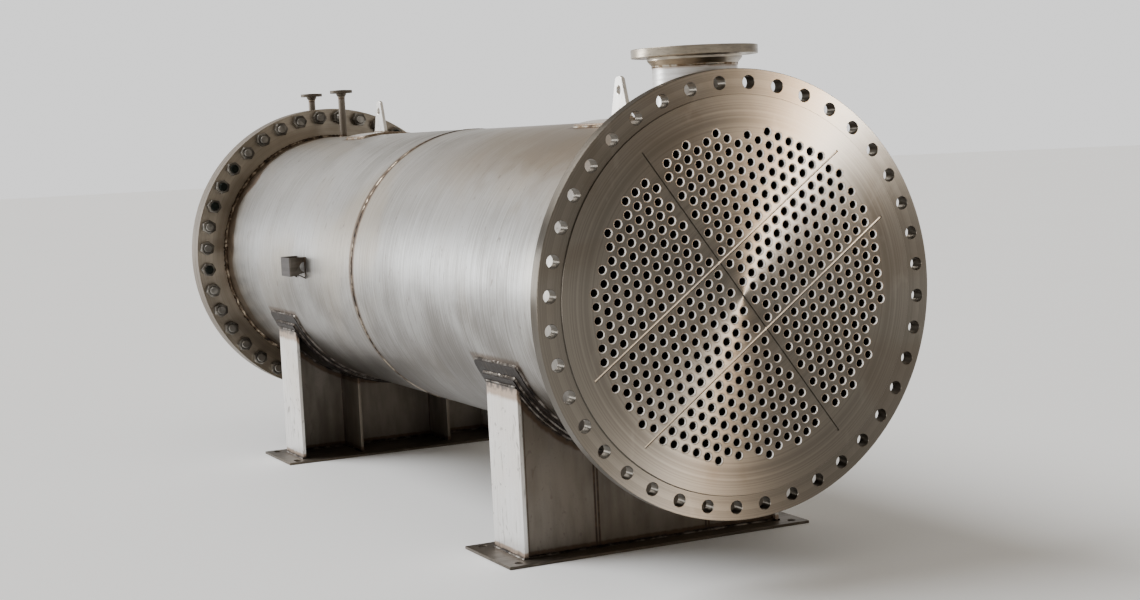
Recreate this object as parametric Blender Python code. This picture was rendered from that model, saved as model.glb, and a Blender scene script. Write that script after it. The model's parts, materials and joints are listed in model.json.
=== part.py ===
"""Horizontal shell-and-tube hydraulic oil cooler with fixed tubesheets, on two saddles.

The front tubesheet is bare: its water box isn't fitted. The rear return head is bolted on.
Every solid is modelled around the vessel axis, with Y measured from the front flange face,
and is then placed so that the origin is the middle of the footprint, at floor level.
"""
from math import acos, asin, cos, pi, radians, sin, sqrt

import bmesh
import bpy

# Overall layout along the vessel, in metres
AXIS_HEIGHT = 0.897
TUBESHEET_THICKNESS = 0.047
REAR_TUBESHEET_START = 3.952
REAR_TUBESHEET_END = 4.000
GIRTH_SEAM = 2.083
HEAD_FLANGE_START = 4.003
HEAD_FLANGE_END = 4.065
HEAD_BARREL_END = 4.310
HEAD_STRAIGHT_END = 4.340
HEAD_DEPTH = 0.275
RAISED_FACE_HEIGHT = 0.005
VESSEL_END = HEAD_STRAIGHT_END + HEAD_DEPTH
VESSEL_SHIFT = (RAISED_FACE_HEIGHT - VESSEL_END) / 2

# Shell and main flanges
SHELL_OUTER = 0.563
SHELL_INNER = 0.550
FLANGE_RADIUS = 0.705
RAISED_FACE_RADIUS = 0.626
BOLT_CIRCLE = 0.663
BOLT_COUNT = 40
BOLT_HOLE_RADIUS = 0.021
STUD_RADIUS = 0.0195
STUD_PROTRUSION = 0.010
NUT_CORNER_RADIUS = 0.0346
NUT_HEIGHT = 0.036
GASKET_INNER = 0.569
GASKET_OUTER = 0.636

# Tube bundle, in axes turned about the vessel axis
FIELD_TURN = radians(36)
LANE_OFFSET = 0.1352
LANE_HALF_WIDTH = 0.0072
CENTRE_LANE_HALF_WIDTH = 0.012
BUNDLE_RADIUS = 0.500
GROOVE_HALF_WIDTH = 0.0035
GROOVE_DEPTH = 0.004
GROOVE_END_RADIUS = 0.569
TIE_ROD_RADIUS = 0.008
TIE_ROD_SITES = ((0.1764, 0.4894), (0.3030, 0.4159))
BAFFLE_RADIUS = 0.545
BAFFLE_THICKNESS = 0.010
BAFFLE_COUNT = 6
BAFFLE_CUT = 0.275
PARTITION_THICKNESS = 0.012
PARTITION_WALL_GAP = 0.003
PARTITION_DISH_GAP = 0.016

# Main nozzles: inlet on top near the front, outlet below near the rear
NOZZLE_FACE = 0.785
NOZZLE_PIPE_OUTER = 0.1365
NOZZLE_PIPE_INNER = 0.1272
NOZZLE_HUB_RADIUS = 0.152
NOZZLE_FLANGE_RADIUS = 0.203
NOZZLE_FLANGE_THICKNESS = 0.030
NOZZLE_RAISED_RADIUS = 0.162
NOZZLE_RAISED_HEIGHT = 0.002
NOZZLE_HUB_LENGTH = 0.028
NOZZLE_BOLT_CIRCLE = 0.181
NOZZLE_BOLT_RADIUS = 0.0127
NOZZLE_BOLT_COUNT = 12
NOZZLE_NECK_START = 0.530
INLET_Y = 0.240
OUTLET_Y = 3.700

# Small vent nozzles
VENT_FACE = 0.789
VENT_PIPE_OUTER = 0.0167
VENT_PIPE_INNER = 0.0133
VENT_HUB_RADIUS = 0.0245
VENT_FLANGE_RADIUS = 0.054
VENT_FLANGE_THICKNESS = 0.0158
VENT_RAISED_RADIUS = 0.0254
VENT_RAISED_HEIGHT = 0.0016
VENT_HUB_LENGTH = 0.018
VENT_BOLT_CIRCLE = 0.0397
VENT_BOLT_RADIUS = 0.008
VENT_BOLT_COUNT = 4
VENT_NECK_START = 0.545
SHELL_VENT_Y = 3.730
HEAD_VENT_Y = 4.200

# Saddles
SADDLE_CENTRES = (0.772, 3.212)
BASE_HALF_WIDTH = 0.585
BASE_HALF_LENGTH = 0.195
BASE_THICKNESS = 0.010
BASE_HOLE_X = 0.535
BASE_HOLE_Y = 0.155
BASE_HOLE_RADIUS = 0.015
SLIDING_SLOT_HALF = 0.015
END_RIB_OUTER = 0.500
END_RIB_THICKNESS = 0.014
RIB_HALF_LENGTH = 0.128
MID_RIB_X = 0.215
MID_RIB_THICKNESS = 0.012
WEB_OUTER_FACE = 0.111
WEB_THICKNESS = 0.012
WEAR_THICKNESS = 0.010
WEAR_HALF_ANGLE = radians(66)
WEAR_HALF_LENGTH = 0.187
CAP_THICKNESS = 0.012
CAP_HALF_ANGLE = radians(61.5)
CAP_HALF_LENGTH = 0.135

# Lifting lugs
LUG_CENTRES = (0.762, 3.190)
LUG_PAD_THICKNESS = 0.010
LUG_PAD_HALF_ANGLE = radians(13.5)
LUG_PAD_HALF_LENGTH = 0.120
LUG_THICKNESS = 0.015
LUG_BASE_WIDTH = 0.134
LUG_TIP_RADIUS = 0.034
LUG_TIP_HEIGHT = 0.717
LUG_EYE_HEIGHT = 0.669
LUG_EYE_RADIUS = 0.016

# Name-plate bracket on the left side of the shell
BRACKET_FRONT = 2.680
BRACKET_BACK = 2.810
BRACKET_STANDOFF = 0.070
BRACKET_SHEET = 0.004
BRACKET_TOP = 0.054
BRACKET_BOTTOM = -0.055
BRACKET_FACE_BOTTOM = -0.041
BRACKET_NOTCH = 0.021

# Clearances and smoothness
GAP = 0.0003
SLIP = 0.0008
OVERCUT = 0.020
RING_SIDES = 48
NOZZLE_SIDES = 24
SMALL_SIDES = 12
HOLE_SIDES = 8
SMOOTH_ANGLE = radians(35)


def clear_scene():
    """Remove every object the file starts with."""
    for item in list(bpy.data.objects):
        bpy.data.objects.remove(item, do_unlink=True)


def make_material(name, colour, roughness, metallic):
    """A Principled material with one colour and finish."""
    material = bpy.data.materials.new(name)
    material.use_nodes = True
    shader = material.node_tree.nodes["Principled BSDF"]
    shader.inputs["Base Color"].default_value = (*colour, 1.0)
    shader.inputs["Roughness"].default_value = roughness
    shader.inputs["Metallic"].default_value = metallic
    return material


FINISHES = {
    "machined_steel": ((0.46, 0.42, 0.37), 0.30, 1.0),
    "pickled_steel": ((0.60, 0.58, 0.55), 0.42, 1.0),
    "plate_steel": ((0.42, 0.38, 0.34), 0.50, 1.0),
    "bright_plate": ((0.74, 0.72, 0.70), 0.35, 1.0),
    "tube_steel": ((0.50, 0.48, 0.45), 0.38, 1.0),
    "gasket_sheet": ((0.10, 0.10, 0.10), 0.85, 0.0),
}


def add_object(name, mesh_data, finish):
    """Turn a bmesh in vessel coordinates into a placed, shaded, named object."""
    bmesh.ops.recalc_face_normals(mesh_data, faces=mesh_data.faces)
    mesh = bpy.data.meshes.new(name)
    mesh_data.to_mesh(mesh)
    mesh_data.free()
    mesh.shade_smooth()
    mesh.set_sharp_from_angle(angle=SMOOTH_ANGLE)
    mesh.materials.append(make_material(name, *FINISHES[finish]))
    item = bpy.data.objects.new(name, mesh)
    item.location = (0.0, VESSEL_SHIFT, AXIS_HEIGHT)
    bpy.context.collection.objects.link(item)
    return item


def as_cutter(item):
    """Mark an object as a guide that isn't part of the cooler."""
    item.hide_render = True
    item.display_type = "WIRE"
    return item


def combine(item, other, operation):
    """Add an exact Boolean of the given kind to an object."""
    modifier = item.modifiers.new(operation.lower(), "BOOLEAN")
    modifier.operation = operation
    modifier.solver = "EXACT"
    modifier.object = as_cutter(other)


def along_axis(radius, distance, angle):
    """A point on a circle around the vessel axis."""
    return (radius * cos(angle), distance, radius * sin(angle))


def along_upright(radius, height, angle):
    """A point on a circle around a vertical line through the origin."""
    return (radius * cos(angle), radius * sin(angle), height)


def turn_profile(profile, sides, to_point, offset=(0.0, 0.0, 0.0)):
    """Turn a closed profile of (radius, distance) pairs into a solid ring."""
    work = bmesh.new()
    rings = []
    for radius, distance in profile:
        ring = []
        for step in range(sides):
            point = to_point(radius, distance, 2 * pi * step / sides)
            ring.append(work.verts.new([point[axis] + offset[axis] for axis in range(3)]))
        rings.append(ring)
    for index, ring in enumerate(rings):
        following = rings[(index + 1) % len(rings)]
        for step in range(sides):
            after = (step + 1) % sides
            work.faces.new((ring[step], ring[after], following[after], following[step]))
    return work


def add_prism(work, outline, low, high, to_point):
    """Add a prism: an outline of (a, b) pairs carried from low to high."""
    bottom = [work.verts.new(to_point(a, b, low)) for a, b in outline]
    top = [work.verts.new(to_point(a, b, high)) for a, b in outline]
    count = len(outline)
    work.faces.new(bottom)
    work.faces.new(list(reversed(top)))
    for step in range(count):
        after = (step + 1) % count
        work.faces.new((bottom[after], bottom[step], top[step], top[after]))


def prism(outline, low, high, to_point):
    """One prism as a new bmesh."""
    work = bmesh.new()
    add_prism(work, outline, low, high, to_point)
    return work


def cross_section(a, b, level):
    """Outline in X and Z, carried along Y."""
    return (a, level, b)


def side_section(a, b, level):
    """Outline in Y and Z, carried along X."""
    return (level, a, b)


def plan_section(a, b, level):
    """Outline in X and Y, carried along Z."""
    return (a, b, level)


def bundle_section(a, b, level):
    """Outline in the turned axes of the tube bundle, carried along Y."""
    x = a * cos(FIELD_TURN) - b * sin(FIELD_TURN)
    z = a * sin(FIELD_TURN) + b * cos(FIELD_TURN)
    return (x, level, z)


def rectangle(low_a, high_a, low_b, high_b):
    """Four corners of a rectangle."""
    return [(low_a, low_b), (high_a, low_b), (high_a, high_b), (low_a, high_b)]


def circle(centre_a, centre_b, radius, sides, start=0.0):
    """Points of a circle."""
    turns = [start + 2 * pi * step / sides for step in range(sides)]
    return [(centre_a + radius * cos(turn), centre_b + radius * sin(turn)) for turn in turns]


def arc(radius, first, last, steps):
    """Points of an arc about the origin, both ends included."""
    turns = [first + (last - first) * step / steps for step in range(steps + 1)]
    return [(radius * cos(turn), radius * sin(turn)) for turn in turns]


def bolt_angle(index, count):
    """Angle of a bolt hole; holes straddle the vertical centre line."""
    return 2 * pi * (index + 0.5) / count


def bolt_centres(radius, count):
    """Centres of evenly spaced holes on a circle."""
    return [(radius * cos(bolt_angle(index, count)), radius * sin(bolt_angle(index, count)))
            for index in range(count)]


def ring_profile(inner, outer, start, end):
    """Profile of a plain ring or tube."""
    return [(inner, start), (outer, start), (outer, end), (inner, end)]


def main_bolt_cutter(name, start, end, sides):
    """Forty cutters on the main bolt circle, whose flats touch the hole's true circle."""
    work = bmesh.new()
    corner_radius = BOLT_HOLE_RADIUS / cos(pi / sides)
    for x, z in bolt_centres(BOLT_CIRCLE, BOLT_COUNT):
        add_prism(work, circle(x, z, corner_radius, sides), start, end, cross_section)
    return add_object(name, work, "tube_steel")


def disc_profile_solid(outline, sides):
    """A solid of revolution about the vessel axis whose end faces are flat discs."""
    work = bmesh.new()
    rings = []
    for radius, distance in outline:
        points = [along_axis(radius, distance, 2 * pi * step / sides) for step in range(sides)]
        rings.append([work.verts.new(point) for point in points])
    for ring, following in zip(rings, rings[1:]):
        for step in range(sides):
            after = (step + 1) % sides
            work.faces.new((ring[step], ring[after], following[after], following[step]))
    work.faces.new(list(reversed(rings[0])))
    work.faces.new(rings[-1])
    return work


def build_front_tubesheet():
    """Bolting flange and tubesheet in one plate, with a raised face and pass grooves."""
    outline = [
        (RAISED_FACE_RADIUS, -RAISED_FACE_HEIGHT),
        (RAISED_FACE_RADIUS, 0.0),
        (FLANGE_RADIUS, 0.0),
        (FLANGE_RADIUS, TUBESHEET_THICKNESS),
    ]
    sheet = add_object("front_tubesheet", disc_profile_solid(outline, RING_SIDES), "machined_steel")
    holes = main_bolt_cutter("front_bolt_cutter", -OVERCUT, TUBESHEET_THICKNESS + OVERCUT, HOLE_SIDES)
    combine(sheet, holes, "DIFFERENCE")

    groove_front = -RAISED_FACE_HEIGHT - OVERCUT
    groove_floor = -RAISED_FACE_HEIGHT + GROOVE_DEPTH
    long_outline = rectangle(-GROOVE_HALF_WIDTH, GROOVE_HALF_WIDTH, -GROOVE_END_RADIUS, GROOVE_END_RADIUS)
    long_groove = prism(long_outline, groove_front, groove_floor, bundle_section)
    combine(sheet, add_object("long_groove_cutter", long_groove, "tube_steel"), "DIFFERENCE")

    cross_grooves = bmesh.new()
    reach = sqrt(GROOVE_END_RADIUS ** 2 - LANE_OFFSET ** 2)
    for middle in (-LANE_OFFSET, LANE_OFFSET):
        outline = rectangle(-reach, reach, middle - GROOVE_HALF_WIDTH, middle + GROOVE_HALF_WIDTH)
        add_prism(cross_grooves, outline, groove_front, groove_floor, bundle_section)
    combine(sheet, add_object("cross_groove_cutter", cross_grooves, "tube_steel"), "DIFFERENCE")


def upright_cutter(name, distance, radius, start, end, sides):
    """A vertical round cutter through the shell at one place along it."""
    work = prism(circle(0.0, distance, radius, sides), start, end, plan_section)
    return add_object(name, work, "tube_steel")


def build_shell():
    """Two rolled courses that meet at the girth seam, with nozzle holes."""
    front = ring_profile(SHELL_INNER, SHELL_OUTER, TUBESHEET_THICKNESS + GAP, GIRTH_SEAM - GAP / 2)
    rear = ring_profile(SHELL_INNER, SHELL_OUTER, GIRTH_SEAM + GAP / 2, REAR_TUBESHEET_START - GAP)
    front_tube = turn_profile(front, RING_SIDES, along_axis)
    rear_tube = turn_profile(rear, RING_SIDES, along_axis)
    front_course = add_object("shell_course_front", front_tube, "pickled_steel")
    rear_course = add_object("shell_course_rear", rear_tube, "pickled_steel")
    nozzle_hole = NOZZLE_PIPE_OUTER + SLIP
    vent_hole = VENT_PIPE_OUTER + SLIP
    top_start, top_end = SHELL_INNER / 2, SHELL_OUTER + OVERCUT
    inlet = upright_cutter("inlet_cutter", INLET_Y, nozzle_hole, top_start, top_end, NOZZLE_SIDES)
    outlet = upright_cutter("outlet_cutter", OUTLET_Y, nozzle_hole, -top_end, -top_start, NOZZLE_SIDES)
    vent = upright_cutter("shell_vent_cutter", SHELL_VENT_Y, vent_hole, top_start, top_end, SMALL_SIDES)
    combine(front_course, inlet, "DIFFERENCE")
    combine(rear_course, outlet, "DIFFERENCE")
    combine(rear_course, vent, "DIFFERENCE")


def build_rear_tubesheet():
    """Rear tubesheet, drilled for the studs of the return head."""
    outline = [(FLANGE_RADIUS, REAR_TUBESHEET_START), (FLANGE_RADIUS, REAR_TUBESHEET_END)]
    sheet = add_object("rear_tubesheet", disc_profile_solid(outline, RING_SIDES), "plate_steel")
    start = REAR_TUBESHEET_START - OVERCUT
    end = REAR_TUBESHEET_END + OVERCUT
    combine(sheet, main_bolt_cutter("rear_bolt_cutter", start, end, HOLE_SIDES), "DIFFERENCE")
    gasket = ring_profile(GASKET_INNER, GASKET_OUTER, REAR_TUBESHEET_END + GAP, HEAD_FLANGE_START - GAP)
    add_object("rear_gasket", turn_profile(gasket, RING_SIDES, along_axis), "gasket_sheet")


def add_stud(work, x, z, turn):
    """One stud with its two hexagon nuts, as a stack of six-sided sections."""
    front_nut_end = REAR_TUBESHEET_START - GAP
    front_nut_start = front_nut_end - NUT_HEIGHT
    rear_nut_end = HEAD_FLANGE_END + NUT_HEIGHT
    sections = [
        (STUD_RADIUS, front_nut_start - STUD_PROTRUSION),
        (STUD_RADIUS, front_nut_start),
        (NUT_CORNER_RADIUS, front_nut_start),
        (NUT_CORNER_RADIUS, front_nut_end),
        (STUD_RADIUS, front_nut_end),
        (STUD_RADIUS, (HEAD_FLANGE_START + HEAD_FLANGE_END) / 2),
        (NUT_CORNER_RADIUS, (HEAD_FLANGE_START + HEAD_FLANGE_END) / 2),
        (NUT_CORNER_RADIUS, rear_nut_end),
        (STUD_RADIUS, rear_nut_end),
        (STUD_RADIUS, rear_nut_end + STUD_PROTRUSION),
    ]
    rings = []
    for radius, distance in sections:
        points = circle(x, z, radius, 6, turn)
        rings.append([work.verts.new((a, distance, b)) for a, b in points])
    for ring, following in zip(rings, rings[1:]):
        for step in range(6):
            after = (step + 1) % 6
            work.faces.new((ring[step], ring[after], following[after], following[step]))
    work.faces.new(list(reversed(rings[0])))
    work.faces.new(rings[-1])


def build_rear_head():
    """Return head: studded flange, barrel, dished end and two pass partitions."""
    flange = ring_profile(SHELL_INNER, FLANGE_RADIUS, HEAD_FLANGE_START, HEAD_FLANGE_END)
    studded = add_object("rear_head_flange", turn_profile(flange, RING_SIDES, along_axis), "plate_steel")
    studs = bmesh.new()
    for index, (x, z) in enumerate(bolt_centres(BOLT_CIRCLE, BOLT_COUNT)):
        add_stud(studs, x, z, bolt_angle(index, BOLT_COUNT))
    combine(studded, add_object("stud_guide", studs, "tube_steel"), "UNION")

    barrel = ring_profile(SHELL_INNER, SHELL_OUTER, HEAD_FLANGE_END + GAP, HEAD_BARREL_END - GAP)
    barrel_ring = turn_profile(barrel, RING_SIDES, along_axis)
    barrel_item = add_object("rear_head_barrel", barrel_ring, "pickled_steel")
    vent_hole = VENT_PIPE_OUTER + SLIP
    top = SHELL_OUTER + OVERCUT
    vent = upright_cutter("head_vent_cutter", HEAD_VENT_Y, vent_hole, SHELL_INNER / 2, top, SMALL_SIDES)
    combine(barrel_item, vent, "DIFFERENCE")
    add_object("rear_head_dish", dish_solid(), "pickled_steel")
    for name, side in (("rear_partition_upper", 1), ("rear_partition_lower", -1)):
        middle = side * LANE_OFFSET
        half = PARTITION_THICKNESS / 2
        work = prism(partition_outline(), middle - half, middle + half, partition_point)
        add_object(name, work, "plate_steel")


def dish_solid():
    """Dished end: a short straight skirt and a half ellipsoid, hollow and open in front."""
    wall = SHELL_OUTER - SHELL_INNER
    steps = 4
    work = bmesh.new()
    layers = []
    for edge_radius, depth in ((SHELL_OUTER, HEAD_DEPTH), (SHELL_INNER, HEAD_DEPTH - wall)):
        rings = []
        stations = [(edge_radius, HEAD_BARREL_END)]
        for step in range(steps):
            turn = step / steps * pi / 2
            stations.append((edge_radius * cos(turn), HEAD_STRAIGHT_END + depth * sin(turn)))
        for radius, distance in stations:
            turns = [2 * pi * side / RING_SIDES for side in range(RING_SIDES)]
            rings.append([work.verts.new(along_axis(radius, distance, turn)) for turn in turns])
        crown = work.verts.new((0.0, HEAD_STRAIGHT_END + depth, 0.0))
        for ring, following in zip(rings, rings[1:]):
            for side in range(RING_SIDES):
                after = (side + 1) % RING_SIDES
                work.faces.new((ring[side], ring[after], following[after], following[side]))
        for side in range(RING_SIDES):
            work.faces.new((rings[-1][side], rings[-1][(side + 1) % RING_SIDES], crown))
        layers.append(rings[0])
    for side in range(RING_SIDES):
        after = (side + 1) % RING_SIDES
        work.faces.new((layers[0][side], layers[0][after], layers[1][after], layers[1][side]))
    return work


def partition_point(a, b, level):
    """Outline in the turned A axis and Y, carried across the turned B axis."""
    return bundle_section(a, level, b)


def partition_outline():
    """A pass partition fills the barrel from wall to wall and stays just inside the dished end."""
    across = LANE_OFFSET + PARTITION_THICKNESS / 2
    barrel_half = sqrt((SHELL_INNER - PARTITION_WALL_GAP) ** 2 - across ** 2)
    radius = SHELL_INNER - PARTITION_DISH_GAP
    depth = HEAD_DEPTH - (SHELL_OUTER - SHELL_INNER) - PARTITION_DISH_GAP
    reach = depth * sqrt(1 - (across / radius) ** 2)
    steps = 5
    right = [(barrel_half, HEAD_FLANGE_START + GAP), (barrel_half, HEAD_STRAIGHT_END)]
    for step in range(steps):
        forward = reach * sin(step / steps * pi / 2)
        half = sqrt(radius ** 2 * (1 - (forward / depth) ** 2) - across ** 2)
        right.append((half, HEAD_STRAIGHT_END + forward))
    left = [(-a, b) for a, b in reversed(right)]
    return right + left


def flange_profile(size, direction):
    """Weld-neck flange profile around the nozzle axis; direction is 1 up or -1 down."""
    face = size["face"]
    back = face - size["thickness"]
    shoulder = back - size["hub_length"] / 2
    root = back - size["hub_length"]
    step = face - size["raised_height"]
    points = [
        (size["bore"], root),
        (size["pipe"], root),
        (size["hub"], shoulder),
        (size["hub"], back),
        (size["radius"], back),
        (size["radius"], step),
        (size["raised"], step),
        (size["raised"], face),
        (size["bore"], face),
    ]
    return [(radius, direction * height) for radius, height in points]


MAIN_NOZZLE = {
    "face": NOZZLE_FACE, "thickness": NOZZLE_FLANGE_THICKNESS, "hub_length": NOZZLE_HUB_LENGTH,
    "raised_height": NOZZLE_RAISED_HEIGHT, "bore": NOZZLE_PIPE_INNER, "pipe": NOZZLE_PIPE_OUTER,
    "hub": NOZZLE_HUB_RADIUS, "radius": NOZZLE_FLANGE_RADIUS, "raised": NOZZLE_RAISED_RADIUS,
    "neck_start": NOZZLE_NECK_START, "bolt_circle": NOZZLE_BOLT_CIRCLE,
    "bolt_radius": NOZZLE_BOLT_RADIUS, "bolt_count": NOZZLE_BOLT_COUNT, "sides": NOZZLE_SIDES,
}
VENT_NOZZLE = {
    "face": VENT_FACE, "thickness": VENT_FLANGE_THICKNESS, "hub_length": VENT_HUB_LENGTH,
    "raised_height": VENT_RAISED_HEIGHT, "bore": VENT_PIPE_INNER, "pipe": VENT_PIPE_OUTER,
    "hub": VENT_HUB_RADIUS, "radius": VENT_FLANGE_RADIUS, "raised": VENT_RAISED_RADIUS,
    "neck_start": VENT_NECK_START, "bolt_circle": VENT_BOLT_CIRCLE,
    "bolt_radius": VENT_BOLT_RADIUS, "bolt_count": VENT_BOLT_COUNT, "sides": SMALL_SIDES,
}


def build_nozzle(name, size, distance, direction):
    """A set-in neck pipe and its bolted flange."""
    place = (0.0, distance, 0.0)
    profile = flange_profile(size, direction)
    ring = turn_profile(profile, size["sides"], along_upright, place)
    flange = add_object(name + "_flange", ring, "bright_plate")
    holes = bmesh.new()
    ends = sorted((direction * (size["face"] - size["thickness"] * 2), direction * (size["face"] + OVERCUT)))
    for x, y in bolt_centres(size["bolt_circle"], size["bolt_count"]):
        outline = circle(x, y + distance, size["bolt_radius"], HOLE_SIDES)
        add_prism(holes, outline, ends[0], ends[1], plan_section)
    combine(flange, add_object(name + "_bolt_cutter", holes, "tube_steel"), "DIFFERENCE")
    neck_end = size["face"] - size["thickness"] - size["hub_length"] - GAP
    neck = ring_profile(size["bore"], size["pipe"], direction * size["neck_start"], direction * neck_end)
    add_object(name + "_neck", turn_profile(neck, size["sides"], along_upright, place), "pickled_steel")


def sector_plate(inner, outer, half_angle, centre_angle, low, high, steps):
    """A plate rolled to an arc; its hollow side clears the radius below it everywhere."""
    work = bmesh.new()
    step_angle = 2 * half_angle / steps
    inner_corner = (inner + GAP) / cos(step_angle / 2)
    columns = []
    for step in range(steps + 1):
        turn = centre_angle - half_angle + step_angle * step
        column = []
        for radius, distance in ring_profile(inner_corner, outer, low, high):
            column.append(work.verts.new(along_axis(radius, distance, turn)))
        columns.append(column)
    for column, following in zip(columns, columns[1:]):
        for corner in range(4):
            after = (corner + 1) % 4
            work.faces.new((column[corner], column[after], following[after], following[corner]))
    work.faces.new(list(reversed(columns[0])))
    work.faces.new(columns[-1])
    return work


def cap_underside(x, radius):
    """Height of the round cap plate's underside at a distance from the centre plane."""
    return -sqrt(radius ** 2 - x ** 2)


def slot_outline(x, y, radius, half_straight, sides):
    """A hole, or a slot along Y when its straight half length is more than zero."""
    points = []
    for a, b in circle(0.0, 0.0, radius, sides, pi / sides):
        shift = half_straight if b > 0 else -half_straight
        points.append((x + a, y + b + shift))
    return points


def build_base_plate(name, centre, half_straight):
    """Saddle base plate with four anchor holes."""
    bottom = -AXIS_HEIGHT
    top = bottom + BASE_THICKNESS
    front, back = centre - BASE_HALF_LENGTH, centre + BASE_HALF_LENGTH
    outline = rectangle(-BASE_HALF_WIDTH, BASE_HALF_WIDTH, front, back)
    plate = add_object(name, prism(outline, bottom, top, plan_section), "plate_steel")
    holes = bmesh.new()
    for x in (-BASE_HOLE_X, BASE_HOLE_X):
        for y in (centre - BASE_HOLE_Y, centre + BASE_HOLE_Y):
            hole = slot_outline(x, y, BASE_HOLE_RADIUS, half_straight, SMALL_SIDES)
            add_prism(holes, hole, bottom - OVERCUT, top + OVERCUT, plan_section)
    combine(plate, add_object(name + "_hole_cutter", holes, "tube_steel"), "DIFFERENCE")


def build_rib(name, near_x, far_x, start, end, seat_radius):
    """An upright rib from the base plate to the cap plate."""
    foot = BASE_THICKNESS - AXIS_HEIGHT + GAP
    outline = [
        (near_x, foot),
        (far_x, foot),
        (far_x, cap_underside(far_x, seat_radius)),
        (near_x, cap_underside(near_x, seat_radius)),
    ]
    low, high = sorted((start, end))
    add_object(name, prism(outline, low, high, cross_section), "bright_plate")


def build_saddle(label, centre, outward, half_straight):
    """One saddle; outward is the Y direction that its web faces."""
    down = -pi / 2
    wear_inner = SHELL_OUTER
    wear_outer = wear_inner + WEAR_THICKNESS
    cap_outer = wear_outer + CAP_THICKNESS
    seat_radius = cap_outer + GAP
    low, high = centre - WEAR_HALF_LENGTH, centre + WEAR_HALF_LENGTH
    wear = sector_plate(wear_inner, wear_outer, WEAR_HALF_ANGLE, down, low, high, 20)
    add_object(label + "_wear_plate", wear, "plate_steel")
    low, high = centre - CAP_HALF_LENGTH, centre + CAP_HALF_LENGTH
    cap = sector_plate(wear_outer, cap_outer, CAP_HALF_ANGLE, down, low, high, 20)
    add_object(label + "_cap_plate", cap, "plate_steel")
    build_base_plate(label + "_base_plate", centre, half_straight)

    inner_face = END_RIB_OUTER - END_RIB_THICKNESS
    for side_name, side in (("left", -1), ("right", 1)):
        ends = (centre - RIB_HALF_LENGTH, centre + RIB_HALF_LENGTH)
        end_name = f"{label}_end_rib_{side_name}"
        build_rib(end_name, side * END_RIB_OUTER, side * inner_face, *ends, seat_radius)
        web_side = centre + outward * (WEB_OUTER_FACE - WEB_THICKNESS - GAP)
        near_x = side * (MID_RIB_X - MID_RIB_THICKNESS / 2)
        far_x = side * (MID_RIB_X + MID_RIB_THICKNESS / 2)
        free_end = centre - outward * RIB_HALF_LENGTH
        build_rib(f"{label}_mid_rib_{side_name}", near_x, far_x, web_side, free_end, seat_radius)

    web_reach = inner_face - GAP
    steps = 20
    edge_angle = acos(web_reach / seat_radius)
    corner_radius = seat_radius / cos((pi / 2 - edge_angle) / steps)
    foot = BASE_THICKNESS - AXIS_HEIGHT + GAP
    outline = [(-web_reach, foot), (web_reach, foot)]
    top_angle = acos(web_reach / corner_radius)
    outline += arc(corner_radius, -top_angle, top_angle - pi, steps)
    outer_face = centre + outward * WEB_OUTER_FACE
    low, high = sorted((outer_face, outer_face - outward * WEB_THICKNESS))
    web = prism(outline, low, high, cross_section)
    add_object(label + "_web", web, "plate_steel")


def lug_outline(centre):
    """Tapered lug with a round top."""
    foot = SHELL_OUTER + LUG_PAD_THICKNESS + GAP
    tip_centre = LUG_TIP_HEIGHT - LUG_TIP_RADIUS
    half_base = LUG_BASE_WIDTH / 2
    diagonal = sqrt(half_base ** 2 + (tip_centre - foot) ** 2)
    lean = asin(LUG_TIP_RADIUS / diagonal) - acos(half_base / diagonal) + pi / 2
    points = [(centre - half_base, foot), (centre + half_base, foot)]
    for a, b in arc(LUG_TIP_RADIUS, lean, pi - lean, 8):
        points.append((centre + a, tip_centre + b))
    return points


def build_lug(label, centre):
    """A lifting lug on its curved pad."""
    pad_outer = SHELL_OUTER + LUG_PAD_THICKNESS
    low, high = centre - LUG_PAD_HALF_LENGTH, centre + LUG_PAD_HALF_LENGTH
    pad = sector_plate(SHELL_OUTER, pad_outer, LUG_PAD_HALF_ANGLE, pi / 2, low, high, 6)
    add_object(label + "_lug_pad", pad, "pickled_steel")
    half = LUG_THICKNESS / 2
    plate = prism(lug_outline(centre), -half, half, side_section)
    lug = add_object(label + "_lifting_lug", plate, "bright_plate")
    eye = prism(circle(centre, LUG_EYE_HEIGHT, LUG_EYE_RADIUS, SMALL_SIDES), -OVERCUT, OVERCUT, side_section)
    combine(lug, add_object(label + "_eye_cutter", eye, "tube_steel"), "DIFFERENCE")


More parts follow.
